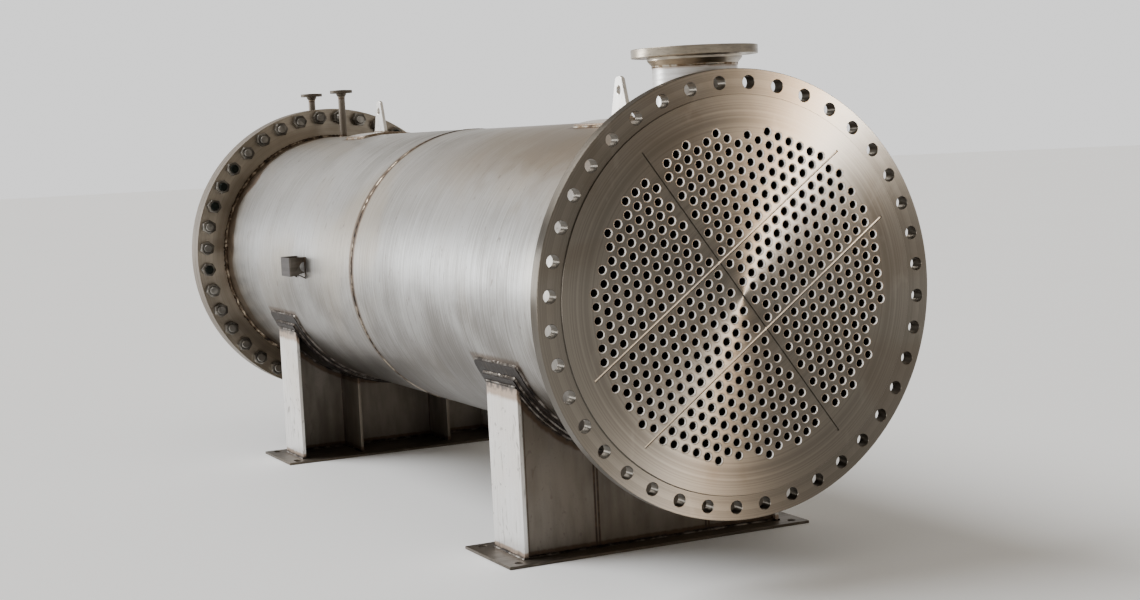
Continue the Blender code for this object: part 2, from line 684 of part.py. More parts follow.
def build_bracket():
    """Name-plate bracket: sheet bent to a U, its two legs notched where they meet the shell."""
    foot = -(SHELL_OUTER + 2 * GAP)
    face = foot - BRACKET_STANDOFF
    inner = face + BRACKET_SHEET
    outline = [
        (foot, BRACKET_FRONT),
        (face, BRACKET_FRONT),
        (face, BRACKET_BACK),
        (foot, BRACKET_BACK),
        (foot, BRACKET_BACK - BRACKET_SHEET),
        (inner, BRACKET_BACK - BRACKET_SHEET),
        (inner, BRACKET_FRONT + BRACKET_SHEET),
        (foot, BRACKET_FRONT + BRACKET_SHEET),
    ]
    sheet = prism(outline, BRACKET_BOTTOM, BRACKET_TOP, plan_section)
    bracket = add_object("nameplate_bracket", sheet, "plate_steel")
    low, high = BRACKET_FRONT - OVERCUT, BRACKET_BACK + OVERCUT

    notch = [(foot + OVERCUT, -BRACKET_NOTCH), (foot + OVERCUT, BRACKET_NOTCH)]
    for a, b in arc(BRACKET_NOTCH, pi / 2, 3 * pi / 2, 8):
        notch.append((foot + a, b))
    notch_block = prism(notch, low, high, cross_section)
    combine(bracket, add_object("bracket_notch_cutter", notch_block, "tube_steel"), "DIFFERENCE")

    middle = foot - BRACKET_STANDOFF / 2
    wedge = [
        (foot + OVERCUT, BRACKET_BOTTOM - OVERCUT),
        (foot + OVERCUT, -BRACKET_NOTCH),
        (foot, -BRACKET_NOTCH),
        (middle, BRACKET_FACE_BOTTOM),
        (face - OVERCUT, BRACKET_FACE_BOTTOM),
        (face - OVERCUT, BRACKET_BOTTOM - OVERCUT),
    ]
    wedge_block = prism(wedge, low, high, cross_section)
    combine(bracket, add_object("bracket_foot_cutter", wedge_block, "tube_steel"), "DIFFERENCE")


def pass_outline(side, row, grow):
    """Outline of one pass of tubes: side is -1 or 1, row is -1, 0 or 1."""
    radius = BUNDLE_RADIUS + grow
    lane = CENTRE_LANE_HALF_WIDTH - grow
    if row == 0:
        half = LANE_OFFSET - LANE_HALF_WIDTH + grow
        edge = asin(half / radius)
        points = [(lane, half), (lane, -half)] + arc(radius, -edge, edge, 4)
    else:
        low = LANE_OFFSET + LANE_HALF_WIDTH - grow
        points = [(lane, low)] + arc(radius, asin(low / radius), acos(lane / radius), 6)
    flip = row if row else 1
    return [(side * a, flip * b) for a, b in points]


# Oil cooler passes in the order of flow: (side, row) of each block of tubes
PASS_ORDER = ((1, 1), (-1, 1), (-1, 0), (1, 0), (1, -1), (-1, -1))


def tie_rod_places():
    """All eight tie rods, in the turned axes of the bundle."""
    return [(side * a, row * b) for a, b in TIE_ROD_SITES for side in (-1, 1) for row in (-1, 1)]


def build_bundle():
    """Six passes of tubes as plain blocks, with baffles and tie rods."""
    start = TUBESHEET_THICKNESS + GAP
    end = REAR_TUBESHEET_START - GAP
    for number, (side, row) in enumerate(PASS_ORDER, 1):
        work = prism(pass_outline(side, row, 0.0), start, end, bundle_section)
        add_object(f"tube_pass_{number}", work, "tube_steel")

    pitch = (REAR_TUBESHEET_START - TUBESHEET_THICKNESS) / (BAFFLE_COUNT + 1)
    for number in range(1, BAFFLE_COUNT + 1):
        build_baffle(number, TUBESHEET_THICKNESS + pitch * number)

    rod_end = TUBESHEET_THICKNESS + pitch * BAFFLE_COUNT + 4 * BAFFLE_THICKNESS
    for number, (a, b) in enumerate(tie_rod_places(), 1):
        work = prism(circle(a, b, TIE_ROD_RADIUS, HOLE_SIDES), start, rod_end, bundle_section)
        add_object(f"tie_rod_{number}", work, "tube_steel")


def build_baffle(number, middle):
    """A segmental baffle, cut away above or below in turn, with room for tubes and rods."""
    low, high = middle - BAFFLE_THICKNESS / 2, middle + BAFFLE_THICKNESS / 2
    edge = asin(BAFFLE_CUT / BAFFLE_RADIUS)
    flip = 1 if number % 2 else -1
    outline = [(a, flip * b) for a, b in arc(BAFFLE_RADIUS, pi - edge, 2 * pi + edge, 24)]
    baffle = add_object(f"baffle_{number}", prism(outline, low, high, cross_section), "plate_steel")
    openings = bmesh.new()
    for side, row in PASS_ORDER:
        add_prism(openings, pass_outline(side, row, SLIP), low - OVERCUT, high + OVERCUT, bundle_section)
    for a, b in tie_rod_places():
        hole = circle(a, b, TIE_ROD_RADIUS + SLIP, HOLE_SIDES)
        add_prism(openings, hole, low - OVERCUT, high + OVERCUT, bundle_section)
    combine(baffle, add_object(f"baffle_cutter_{number}", openings, "tube_steel"), "DIFFERENCE")


def build_cooler():
    """The whole cooler, front to back."""
    clear_scene()
    build_front_tubesheet()
    build_shell()
    build_rear_tubesheet()
    build_rear_head()
    build_nozzle("inlet", MAIN_NOZZLE, INLET_Y, 1)
    build_nozzle("outlet", MAIN_NOZZLE, OUTLET_Y, -1)
    build_nozzle("shell_vent", VENT_NOZZLE, SHELL_VENT_Y, 1)
    build_nozzle("head_vent", VENT_NOZZLE, HEAD_VENT_Y, 1)
    build_saddle("front_saddle", SADDLE_CENTRES[0], -1, 0.0)
    build_saddle("rear_saddle", SADDLE_CENTRES[1], 1, SLIDING_SLOT_HALF)
    build_lug("front", LUG_CENTRES[0])
    build_lug("rear", LUG_CENTRES[1])
    build_bracket()
    build_bundle()


build_cooler()
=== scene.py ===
"""Looks of the shell-and-tube hydraulic oil cooler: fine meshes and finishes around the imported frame.

Every piece is modelled from the vessel origin, which is the middle of the front flange face:
X to the right, Y along the axis towards the return head, Z up from the axis.
"""

import json
import random
from math import acos, asin, atan2, cos, pi, radians, sin, sqrt

import bmesh
import bpy
from mathutils import Matrix, Vector, noise

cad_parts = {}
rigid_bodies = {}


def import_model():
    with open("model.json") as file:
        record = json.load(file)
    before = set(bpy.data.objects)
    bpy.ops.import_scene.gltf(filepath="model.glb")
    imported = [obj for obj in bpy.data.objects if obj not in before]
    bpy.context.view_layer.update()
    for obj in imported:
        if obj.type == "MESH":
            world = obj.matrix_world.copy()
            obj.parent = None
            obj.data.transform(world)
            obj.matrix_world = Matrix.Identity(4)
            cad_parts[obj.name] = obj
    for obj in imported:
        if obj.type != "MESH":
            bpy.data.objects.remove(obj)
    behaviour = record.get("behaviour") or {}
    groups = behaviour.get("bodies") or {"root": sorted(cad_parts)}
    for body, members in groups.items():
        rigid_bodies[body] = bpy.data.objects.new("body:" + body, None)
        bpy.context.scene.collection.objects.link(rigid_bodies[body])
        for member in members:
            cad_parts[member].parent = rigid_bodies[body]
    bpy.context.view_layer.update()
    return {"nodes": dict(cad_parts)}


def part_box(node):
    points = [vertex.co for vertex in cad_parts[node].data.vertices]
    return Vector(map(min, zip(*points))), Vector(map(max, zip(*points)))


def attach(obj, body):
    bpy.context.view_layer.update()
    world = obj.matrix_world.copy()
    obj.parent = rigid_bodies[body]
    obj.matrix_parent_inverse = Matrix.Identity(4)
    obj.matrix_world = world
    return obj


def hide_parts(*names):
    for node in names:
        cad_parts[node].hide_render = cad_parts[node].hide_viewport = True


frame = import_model()
X, Y, Z = 0, 1, 2

# The vessel origin, and sizes read from the frame
RAISED_HEIGHT = 0.005
SHEET_LOW, SHEET_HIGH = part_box("front_tubesheet")
ORIGIN = Vector((0.0, SHEET_LOW.y + RAISED_HEIGHT, (SHEET_LOW.z + SHEET_HIGH.z) / 2))


def reach(node, axis):
    """Lowest and highest coordinate of a CAD node along one axis, from the vessel origin."""
    low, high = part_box(node)
    return low[axis] - ORIGIN[axis], high[axis] - ORIGIN[axis]


GAP = 0.0003
WALL = 0.013
FLANGE_RADIUS = reach("front_tubesheet", X)[1]
FRONT_SHEET_BACK = reach("front_tubesheet", Y)[1]
SHELL_OUTER = reach("shell_course_front", X)[1]
SHELL_INNER = SHELL_OUTER - WALL
SEAM = reach("shell_course_front", Y)[1]
REAR_SHEET_FRONT, REAR_SHEET_BACK = reach("rear_tubesheet", Y)
HEAD_FRONT = reach("rear_gasket", Y)[1] + GAP
HEAD_FLANGE_BACK, BARREL_END = reach("rear_head_barrel", Y)
DISH_END = reach("rear_head_dish", Y)[1]
DISH_SKIRT = 0.030
FLOOR_LEVEL, BASE_TOP = reach("front_saddle_base_plate", Z)

# Plates around the shell
PLATE_THICKNESS = 0.010
PAD_REACH = {label: reach(label + "_lug_pad", Y) for label in ("front", "rear")}
PAD_HALF_ANGLE = asin(reach("front_lug_pad", X)[1] / (SHELL_OUTER + PLATE_THICKNESS))
PAD_HALF_ARC = PAD_HALF_ANGLE * SHELL_OUTER
PAD_CORNER = 0.020
WEAR_REACH = {label: reach(label + "_saddle_wear_plate", Y) for label in ("front", "rear")}
WEAR_HALF_ANGLE = radians(66)
WEAR_HALF_ARC = WEAR_HALF_ANGLE * SHELL_OUTER
WEAR_CORNER = 0.025
CAP_HALF_ANGLE = radians(61.5)
CAP_OUTER = 0.585

# Half width and height of the fillet welds
RIB_BEAD = (0.006, 0.0055)
WEB_BEAD = (0.0065, 0.006)
PAD_BEAD = (0.0062, 0.0055)
BRACKET_BEAD = (0.0035, 0.003)

# Bolting of the main flanges
RAISED_RADIUS = 0.626
BOLT_CIRCLE = 0.663
BOLT_COUNT = 40
BOLT_HOLE = 0.021
STUD_RADIUS = 0.0195
STUD_PITCH = 0.0035
NUT_CORNER = 0.0346
NUT_HEIGHT = 0.036
STUD_TIP = 0.010

# Tube field, in axes turned about the vessel axis
FIELD_TURN = radians(36)
LANE_OFFSET = 0.1352
TUBE_PITCH = 0.0423
ROW_PITCH = 0.0367
NEAR_COLUMN = 0.0272
FAR_COLUMN = 0.0484
FIRST_OUTER_ROW = 0.1603
OUTER_ROWS = 10
FIELD_RADIUS = 0.521
TIE_ROD_SITES = ((0.1764, 0.4894), (0.3030, 0.4159))
PASSES = ((1, 1), (-1, 1), (-1, 0), (1, 0), (1, -1), (-1, -1))
TUBE_OUTER = 0.0158
TUBE_INNER = 0.0129
TUBE_HOLE = 0.0161
LIP_DEPTH = 0.0065
GROOVE_HALF = 0.0035
GROOVE_DEPTH = 0.004
GROOVE_END = 0.569

# Nozzles that point up (1) or down (-1), and the two sizes of flange and pipe
NOZZLES = {"inlet": 1, "outlet": -1, "shell_vent": 1, "head_vent": 1}
NOZZLE_PLACE = {name: sum(reach(name + "_flange", Y)) / 2 for name in NOZZLES}
MAIN = {"bore": 0.1272, "pipe": 0.1365, "hub": 0.152, "hub_length": 0.028, "thickness": 0.030,
        "raised": 0.162, "raised_height": 0.002, "bolt_circle": 0.181, "bolt": 0.0127, "count": 12,
        "bead": 0.0065}
VENT = {"bore": 0.0133, "pipe": 0.0167, "hub": 0.0245, "hub_length": 0.018, "thickness": 0.0158,
        "raised": 0.0254, "raised_height": 0.0016, "bolt_circle": 0.0397, "bolt": 0.008, "count": 4,
        "bead": 0.0035}
NOZZLE_SIZE = {name: VENT if name.endswith("vent") else MAIN for name in NOZZLES}

# Fineness of the meshes
VESSEL_SIDES = 256
FLANGE_SIDES = 240
NOZZLE_SIDES = 96
SMALL_SIDES = 48
TUBE_SIDES = 24
REAR_HOLE_SIDES = 12
CHAMFER = 0.0010
RIM_EDGE = 0.0015
SHARP_ANGLE = radians(35)


# ---------------------------------------------------------------- shaping
def around_axis(radius, distance, angle):
    """A point around the vessel axis."""
    return (radius * cos(angle), distance, radius * sin(angle))


def cross_section(a, b, level):
    """Outline across the vessel, carried along it."""
    return (a, level, b)


def side_section(a, b, level):
    """Outline along the vessel and upward, carried across it."""
    return (level, a, b)


def plan_section(a, b, level):
    """Outline seen from above, carried upward."""
    return (a, b, level)


def even_turns(count, start=0.0):
    """Angles at even steps of a full turn."""
    return [start + 2 * pi * step / count for step in range(count)]


def circle(a, b, radius, sides, start=0.0):
    """Points of a circle, anticlockwise."""
    return [(a + radius * cos(turn), b + radius * sin(turn)) for turn in even_turns(sides, start)]


def arc(radius, first, last, steps):
    """Points of an arc about the origin."""
    turns = [first + (last - first) * step / steps for step in range(steps + 1)]
    return [(radius * cos(turn), radius * sin(turn)) for turn in turns]


def rectangle(left, low, right, high):
    """Corners of a rectangle."""
    return [(left, low), (right, low), (right, high), (left, high)]


def bolt_centres(radius, count):
    """Centres of a bolt circle that straddles the centre lines."""
    return circle(0.0, 0.0, radius, count, pi / count)


def rounded(outline, radius, steps=3):
    """A closed outline with its corners rounded off."""
    points = []
    for index, corner in enumerate(outline):
        corner = Vector(corner)
        before, after = Vector(outline[index - 1]), Vector(outline[(index + 1) % len(outline)])
        cut = min(radius, 0.4 * (before - corner).length, 0.4 * (after - corner).length)
        start = corner + (before - corner).normalized() * cut
        end = corner + (after - corner).normalized() * cut
        for step in range(steps + 1):
            t = step / steps
            points.append(tuple(start * (1 - t) ** 2 + corner * 2 * t * (1 - t) + end * t ** 2))
    return points


def anticlockwise(outline):
    """The outline in anticlockwise order."""
    area = sum(a[0] * b[1] - b[0] * a[1] for a, b in zip(outline, outline[1:] + outline[:1]))
    return outline if area > 0 else outline[::-1]


def grown(outline, distance):
    """An anticlockwise outline moved outward by a distance."""
    points = []
    for index, corner in enumerate(outline):
        corner = Vector(corner)
        along = (corner - Vector(outline[index - 1])).normalized()
        onward = (Vector(outline[(index + 1) % len(outline)]) - corner).normalized()
        first, second = Vector((along.y, -along.x)), Vector((onward.y, -onward.x))
        shift = (first + second) / (1 + first.dot(second))
        points.append(tuple(corner + shift * distance))
    return points


def add_ring(work, points):
    """Vertices at the points, in order."""
    return [work.verts.new(point) for point in points]


def loft(work, rings, closed=False, capped=False):
    """Quads from each ring to the next, and if asked back to the first one or over both ends."""
    for ring, following in zip(rings, rings[1:] + rings[:1] if closed else rings[1:]):
        for side in range(len(ring)):
            after = (side + 1) % len(ring)
            work.faces.new((ring[side], ring[after], following[after], following[side]))
    if capped:
        work.faces.new(rings[0])
        work.faces.new(rings[-1])


def fill(work, rings):
    """Fill the flat region bounded by closed rings; the inner ones are holes."""
    edges = []
    for ring in rings:
        for vertex, following in zip(ring, ring[1:] + ring[:1]):
            edge = work.edges.get((vertex, following))
            edges.append(edge or work.edges.new((vertex, following)))
    bmesh.ops.triangle_fill(work, use_beauty=True, use_dissolve=False, edges=edges)


def add_turned(work, profile, sides, centre=(0.0, 0.0), to_point=cross_section, closed=True):
    """Turn a profile of (radius, level) points about a centre, and hand back its rings."""
    rings = []
    for radius, level in profile:
        rings.append(add_ring(work, [to_point(a, b, level) for a, b in circle(*centre, radius, sides)]))
    loft(work, rings, closed)
    return rings


def add_plate(work, outline, holes, low, high, to_point, chamfer=CHAMFER):
    """A flat plate with chamfered edges and holes."""
    lower, upper = [], []
    for index, ring in enumerate([outline] + list(holes)):
        ring = anticlockwise(ring)
        edge = grown(ring, -chamfer if index == 0 else chamfer)
        levels = ((edge, low), (ring, low + chamfer), (ring, high - chamfer), (edge, high))
        rings = [add_ring(work, [to_point(a, b, level) for a, b in points]) for points, level in levels]
        loft(work, rings)
        lower.append(rings[0])
        upper.append(rings[-1])
    fill(work, lower)
    fill(work, upper)


def add_rolled(work, inner, outer, centre_turn, half_angle, low, high, corner, steps):
    """A plate rolled around the vessel axis, with rounded corners in its plan."""
    corner_steps, rows = 6, 12
    centre, half_length = (low + high) / 2, (high - low) / 2
    corner_angle = corner / outer
    flat = half_angle - corner_angle
    turns = [-half_angle + corner_angle * step / corner_steps for step in range(corner_steps)]
    turns += [-flat + 2 * flat * step / steps for step in range(steps)]
    turns += [half_angle - corner_angle * step / corner_steps for step in range(corner_steps, -1, -1)]
    columns = []
    for turn in turns:
        inside = max(0.0, abs(turn) - flat) / corner_angle
        half = half_length - corner + corner * sqrt(max(0.0, 1 - inside ** 2))
        section = [(inner, centre - half), (inner, centre + half), (outer - CHAMFER, centre + half)]
        section += [(outer, centre + half - CHAMFER)]
        section += [(outer, centre - half * (1 - 2 * row / rows)) for row in range(rows - 1, 0, -1)]
        section += [(outer, centre - half + CHAMFER), (outer - CHAMFER, centre - half)]
        columns.append(add_ring(work, [around_axis(r, y, centre_turn + turn) for r, y in section]))
    loft(work, columns, capped=True)


def even_path(points, step, closed):
    """Points at even steps along a path of (place, normal) pairs."""
    places = [Vector(place) for place, _ in points]
    normals = [Vector(normal) for _, normal in points]
    if closed:
        places.append(places[0])
        normals.append(normals[0])
    lengths = [(b - a).length for a, b in zip(places, places[1:])]
    total = sum(lengths)
    count = max(4, round(total / step))
    result = []
    segment, travelled = 0, 0.0
    for index in range(count if closed else count + 1):
        target = total * index / count
        while segment < len(lengths) - 1 and travelled + lengths[segment] < target:
            travelled += lengths[segment]
            segment += 1
        t = min(1.0, max(0.0, (target - travelled) / max(lengths[segment], 1e-9)))
        place = places[segment].lerp(places[segment + 1], t)
        normal = normals[segment].lerp(normals[segment + 1], t).normalized()
        result.append((place, normal, target))
    return result


def add_bead(work, points, half_width, height, ripple=0.007, closed=True, rough=0.14):
    """A weld bead along a path of (place, normal) pairs, with ripples of one length and rough edges."""
    sides = 8
    stations = even_path(points, ripple / 3, closed)
    count = len(stations)
    rings = []
    for index, (place, normal, travelled) in enumerate(stations):
        before = stations[index - 1 if closed or index else 0][0]
        after = stations[(index + 1) % count if closed or index + 1 < count else index][0]
        along = (after - before).normalized()
        side = along.cross(normal).normalized()
        up = side.cross(along).normalized()
        beat = sin(2 * pi * travelled / ripple)
        wander = noise.noise(place * 60.0)
        swell = 1 + 0.08 * beat + rough * noise.noise(place * 140.0 + Vector((7.0, 0.0, 0.0)))
        centre = place + side * wander * rough * half_width
        ring = []
        for a, b in circle(0.0, 0.0, 1.0, sides):
            ring.append(centre + side * a * half_width * swell + up * b * height * swell)
        rings.append(add_ring(work, ring))
    loft(work, rings, closed, not closed)


def add_straight_bead(work, start, end, normal, half_width, height):
    """A weld bead along a straight line."""
    count = 12
    start, end, normal = Vector(start), Vector(end), Vector(normal).normalized()
    points = [(start.lerp(end, step / count), normal) for step in range(count + 1)]
    add_bead(work, points, half_width, height, closed=False)


def ring_path(radius, distance, lean=0.0):
    """Path around the vessel; its normal leans from radial towards Y."""
    points = []
    for turn in even_turns(180):
        normal = (cos(lean) * cos(turn), sin(lean), cos(lean) * sin(turn))
        points.append((around_axis(radius, distance, turn), normal))
    return points


def rolled_path(radius, centre_turn, half_angle, low, high, corner):
    """Path around the edge of a rolled plate; its normal leans away from the plate."""
    half_arc, half_length, centre = half_angle * radius, (high - low) / 2, (low + high) / 2
    corner_steps = 4
    outline = []
    for quarter, (along, across) in enumerate(((1, 1), (-1, 1), (-1, -1), (1, -1))):
        for step in range(corner_steps + 1):
            turn = pi / 2 * (quarter + step / corner_steps)
            a = along * (half_arc - corner) + corner * cos(turn)
            b = across * (half_length - corner) + corner * sin(turn)
            outline.append((a, b, cos(turn), sin(turn)))
    points = []
    for start, end in zip(outline, outline[1:] + outline[:1]):
        pieces = max(1, round(abs(end[0] - start[0]) / 0.03))
        for piece in range(pieces):
            t = piece / pieces
            a, b, out_a, out_b = [p + (q - p) * t for p, q in zip(start, end)]
            turn = centre_turn + a / radius
            radial = Vector((cos(turn), 0.0, sin(turn)))
            around = Vector((-sin(turn), 0.0, cos(turn)))
            normal = radial + around * out_a + Vector((0.0, out_b, 0.0))
            points.append((around_axis(radius, centre + b, turn), normal.normalized()))
    return points


# ---------------------------------------------------------------- finishes
class NodeTree:
    """Adds nodes to a shader tree."""

    def __init__(self, owner):
        owner.use_nodes = True
        self.tree = owner.node_tree

    def add(self, kind, inputs, **settings):
        """A node with its inputs linked or set."""
        node = self.tree.nodes.new(kind)
        for key, value in settings.items():
            setattr(node, key, value)
        for key, value in inputs.items():
            if isinstance(value, bpy.types.NodeSocket):
                self.tree.links.new(value, node.inputs[key])
            else:
                node.inputs[key].default_value = value
        return node

    def ease(self, value, low, high, start=0.0, end=1.0):
        """Smooth step from start to end while the value goes from low to high."""
        inputs = {"Value": value, "From Min": low, "From Max": high, "To Min": start, "To Max": end}
        return self.add("ShaderNodeMapRange", inputs, interpolation_type="SMOOTHSTEP").outputs[0]

    def mix(self, first, second, factor, blend="MIX"):
        """Blend two colours, each a socket or its red, green and blue."""
        inputs = {0: factor}
        for key, value in ((6, first), (7, second)):
            inputs[key] = value if isinstance(value, bpy.types.NodeSocket) else (*value, 1.0)
        return self.add("ShaderNodeMix", inputs, data_type="RGBA", blend_type=blend).outputs[2]


class Finish(NodeTree):
    """A procedural finish, built node by node."""

    def __init__(self, name, roughness, metallic=1.0):
        self.material = bpy.data.materials.new(name)
        super().__init__(self.material)
        self.surface = self.tree.nodes["Principled BSDF"]
        self.surface.inputs["Roughness"].default_value = roughness
        self.surface.inputs["Metallic"].default_value = metallic
        self.place = self.add("ShaderNodeTexCoord", {}).outputs["Object"]
        self.x, self.y, self.z = self.add("ShaderNodeSeparateXYZ", {0: self.place}).outputs
        squares = self.math("ADD", self.math("POWER", self.x, 2.0), self.math("POWER", self.z, 2.0))
        self.radius = self.math("SQRT", squares)

    def math(self, operation, first, second=0.0):
        return self.add("ShaderNodeMath", {0: first, 1: second}, operation=operation).outputs[0]

    def blend(self, first, second, share):
        """Sum of two values, the first of them weighted by its share and the second by the rest."""
        first, second = self.math("MULTIPLY", first, share), self.math("MULTIPLY", second, 1 - share)
        return self.math("ADD", first, second)

    def stretched(self, *scale):
        """The place, multiplied along each axis."""
        return self.add("ShaderNodeVectorMath", {0: self.place, 1: scale}, operation="MULTIPLY").outputs[0]

    def grain(self, scale, detail=3.0, distortion=0.0, vector=None):
        """Noise at the place or at another vector."""
        inputs = {"Vector": vector or self.place, "Scale": scale}
        inputs |= {"Detail": detail, "Distortion": distortion}
        return self.add("ShaderNodeTexNoise", inputs).outputs["Fac"]

    def stain(self, base, tint, value, low, high, amount=1.0):
        """A tint over the base that eases in while the value goes from low to high."""
        return self.mix(base, tint, self.ease(value, low, high, 0.0, amount))

    def attribute(self, name):
        """A value that is stored on the mesh."""
        return self.add("ShaderNodeAttribute", {}, attribute_name=name).outputs["Fac"]

    def band(self, axis, centre, half_width):
        """One at a place along an axis, easing to zero at half_width from it."""
        gap = self.math("ABSOLUTE", self.math("SUBTRACT", getattr(self, axis), centre))
        return self.ease(gap, 0.0, half_width, 1.0, 0.0)

    def heat_tint(self, base, heat):
        """Straw, brown and slate tint of the steel, by how hot it has been; on the bracket's outer face the
        same tint is painted shade.
        """
        amount = self.math("MULTIPLY", heat, self.ease(self.grain(45.0, 4.0), 0.25, 0.62, 0.55, 1.0))
        straw = self.mix(base, (0.54, 0.43, 0.35), self.ease(amount, 0.02, 0.35), "MULTIPLY")
        return self.stain(straw, (0.040, 0.034, 0.034), amount, 0.50, 0.95, 0.85)

    def finished(self, base, roughness, height, depth, strength):
        """Link the colour, roughness and bump, and hand back the material."""
        if isinstance(roughness, bpy.types.NodeSocket):
            self.link("Roughness", roughness)
        self.link("Base Color", base)
        inputs = {"Height": height, "Distance": depth, "Strength": strength}
        self.link("Normal", self.add("ShaderNodeBump", inputs).outputs[0])
        return self.material

    def link(self, name, socket):
        self.tree.links.new(socket, self.surface.inputs[name])


def machined_finish(name, light, dark, anisotropy=0.9):
    """Faced on a lathe: concentric marks, and a highlight that runs across the middle."""
    finish = Finish(name, 0.36)
    marks = finish.add("ShaderNodeCombineXYZ", {0: finish.radius, 1: finish.y, 2: 0.0}).outputs[0]
    fine = finish.grain(260.0, vector=marks)
    tone = finish.blend(finish.grain(26.0, 5.0, vector=marks), fine, 0.55)
    base = finish.mix(dark, light, finish.ease(tone, 0.26, 0.74))
    base = finish.stain(base, (0.095, 0.074, 0.052), finish.grain(3.2, 4.0, 0.6), 0.45, 0.75, 0.5)
    smudge = finish.grain(1.0, 6.0, 1.5, finish.stretched(9.0, 9.0, 5.0))
    base = finish.stain(base, (0.22, 0.20, 0.17), smudge, 0.60, 0.72, 0.15)
    finish.surface.inputs["Anisotropic"].default_value = anisotropy
    finish.surface.inputs["Anisotropic Rotation"].default_value = 0.25
    tangent = finish.add("ShaderNodeTangent", {}, direction_type="RADIAL", axis="Y")
    finish.link("Tangent", tangent.outputs[0])
    return finish.finished(base, finish.ease(tone, 0.3, 0.7, 0.27, 0.36), fine, 0.00008, 0.6)


def rolled_finish(name, palette, streak, roughness=0.40, metallic=1.0, grime=0.0, heat_bands=()):
    """Rolled and pickled sheet: cloudy tone, streaks in one direction, scuffs, nicks and heat tint (on the
    bracket's outer face that tint is painted shade), and, when asked, painted shade that darkens the top of
    the front part and the underside.
    """
    finish = Finish(name, roughness, metallic)
    light, dark, warm = palette
    a, b, c = streak
    streaks = finish.grain(1.0, 4.0, vector=finish.stretched(a, b, c))
    fleck = finish.grain(120.0, 4.0)
    tone = finish.blend(finish.grain(2.4, 5.0, 0.4), streaks, 0.55)
    base = finish.mix(dark, light, finish.ease(tone, 0.36, 0.62))
    base = finish.stain(base, warm, finish.grain(1.3, 3.0, 0.8), 0.45, 0.72, 0.55)
    base = finish.stain(base, dark, fleck, 0.56, 0.75, 0.30)
    across = finish.stretched(a * 0.35 + 3.0, b * 0.05 + 3.0, c * 0.35 + 3.0)
    base = finish.stain(base, (0.16, 0.13, 0.11), finish.grain(2.2, 7.0, 2.2, across), 0.63, 0.71, 0.60)
    nick = finish.grain(1.0, 2.0, 0.3, finish.stretched(a + 7.0, b * 0.7, c + 7.0))
    base = finish.stain(base, (0.20, 0.175, 0.15), nick, 0.60, 0.72, 0.45)
    # Painted shade: the top of the front part is tinted darker brown, and the underside darkens towards the
    # bottom, for the dim ceiling and floor that the sheet mirrors.
    if grime:
        patchy = finish.ease(finish.grain(5.0, 5.0, 0.6), 0.3, 0.7, -0.06, 0.06)
        height = finish.math("ADD", finish.z, patchy)
        forward = finish.ease(finish.y, 0.6, 2.2, grime, 0.0)
        worn = finish.math("MULTIPLY", finish.ease(height, 0.24, 0.50), forward)
        base = finish.mix(base, (0.26, 0.205, 0.15), finish.math("MULTIPLY", worn, 0.95))
        base = finish.stain(base, (0.075, 0.062, 0.050), height, 0.12, -0.50, grime)
    # The stored heat also carries painted shade on the bracket's outer face.
    heat = finish.attribute("scorch")
    for band in heat_bands:
        heat = finish.math("MAXIMUM", heat, finish.band(*band))
    shine = finish.ease(tone, 0.3, 0.7, roughness + 0.07, roughness - 0.06)
    height = finish.math("ADD", streaks, finish.math("MULTIPLY", fleck, 0.5))
    return finish.finished(finish.heat_tint(base, heat), shine, height, 0.00025, 0.5)


def weld_finish(name, light, dark, gold):
    """Weld metal: bright ripples with straw and brown oxide."""
    finish = Finish(name, 0.36)
    oxide = finish.grain(28.0, 5.0, 0.5)
    base = finish.stain(light, gold, oxide, 0.38, 0.55)
    base = finish.stain(base, dark, oxide, 0.52, 0.70)
    fine = finish.grain(420.0, 2.0)
    return finish.finished(base, finish.ease(oxide, 0.3, 0.7, 0.28, 0.5), fine, 0.0003, 0.5)


def fastener_finish(name, light, dark):
    """Forged and turned fasteners: cloudy steel, and the blackened tips of some studs."""
    finish = Finish(name, 0.34)
    cloud = finish.grain(22.0, 5.0, 0.4)
    base = finish.stain(dark, light, cloud, 0.35, 0.68)
    base = finish.stain(base, (0.022, 0.026, 0.023), finish.attribute("tone"), 0.74, 0.78)
    return finish.finished(base, finish.ease(cloud, 0.3, 0.7, 0.42, 0.28), finish.grain(500.0), 0.0002, 0.5)


def fibre_finish(name):
    """Grey fibre gasket with a fine mottle."""
    finish = Finish(name, 0.85, 0.0)
    mottle = finish.grain(600.0, 4.0)
    base = finish.mix((0.05, 0.05, 0.05), (0.13, 0.12, 0.11), mottle)
    return finish.finished(base, None, mottle, 0.0004, 1.0)


def floor_finish(name):
    """Pale matt floor with the faintest cloud."""
    finish = Finish(name, 0.8, 0.0)
    finish.link("Base Color", finish.mix((0.92, 0.932, 0.94), (0.94, 0.952, 0.96), finish.grain(0.5)))
    return finish.material


# Palettes of light, dark and warm tones
PICKLED = ((0.55, 0.55, 0.545), (0.28, 0.27, 0.255), (0.43, 0.375, 0.295))
PLATE = ((0.250, 0.222, 0.190), (0.152, 0.130, 0.106), (0.200, 0.158, 0.114))
BRIGHT = ((0.93, 0.925, 0.915), (0.74, 0.72, 0.70), (0.78, 0.70, 0.60))
SLATE = ((0.046, 0.044, 0.045), (0.020, 0.018, 0.018), (0.042, 0.032, 0.024))
FOOT = ((0.120, 0.102, 0.082), (0.068, 0.056, 0.044), PLATE[2])
BROWN = ((0.135, 0.120, 0.100), (0.075, 0.064, 0.052), (0.110, 0.088, 0.064))
# Near-white palette of the main nozzle necks: painted light.
PIPE = (BRIGHT[0], BRIGHT[1], PICKLED[2])
TURNED = (PICKLED[2], PLATE[0], PICKLED[0])
MILLED = (PICKLED[2], PLATE[0], PICKLED[2])
BORE = (PLATE[0], PLATE[2], PLATE[1])
LIP = (BRIGHT[0], PICKLED[0], PICKLED[2])
TUBE_FACE = (PLATE[2], PLATE[1], PLATE[1])

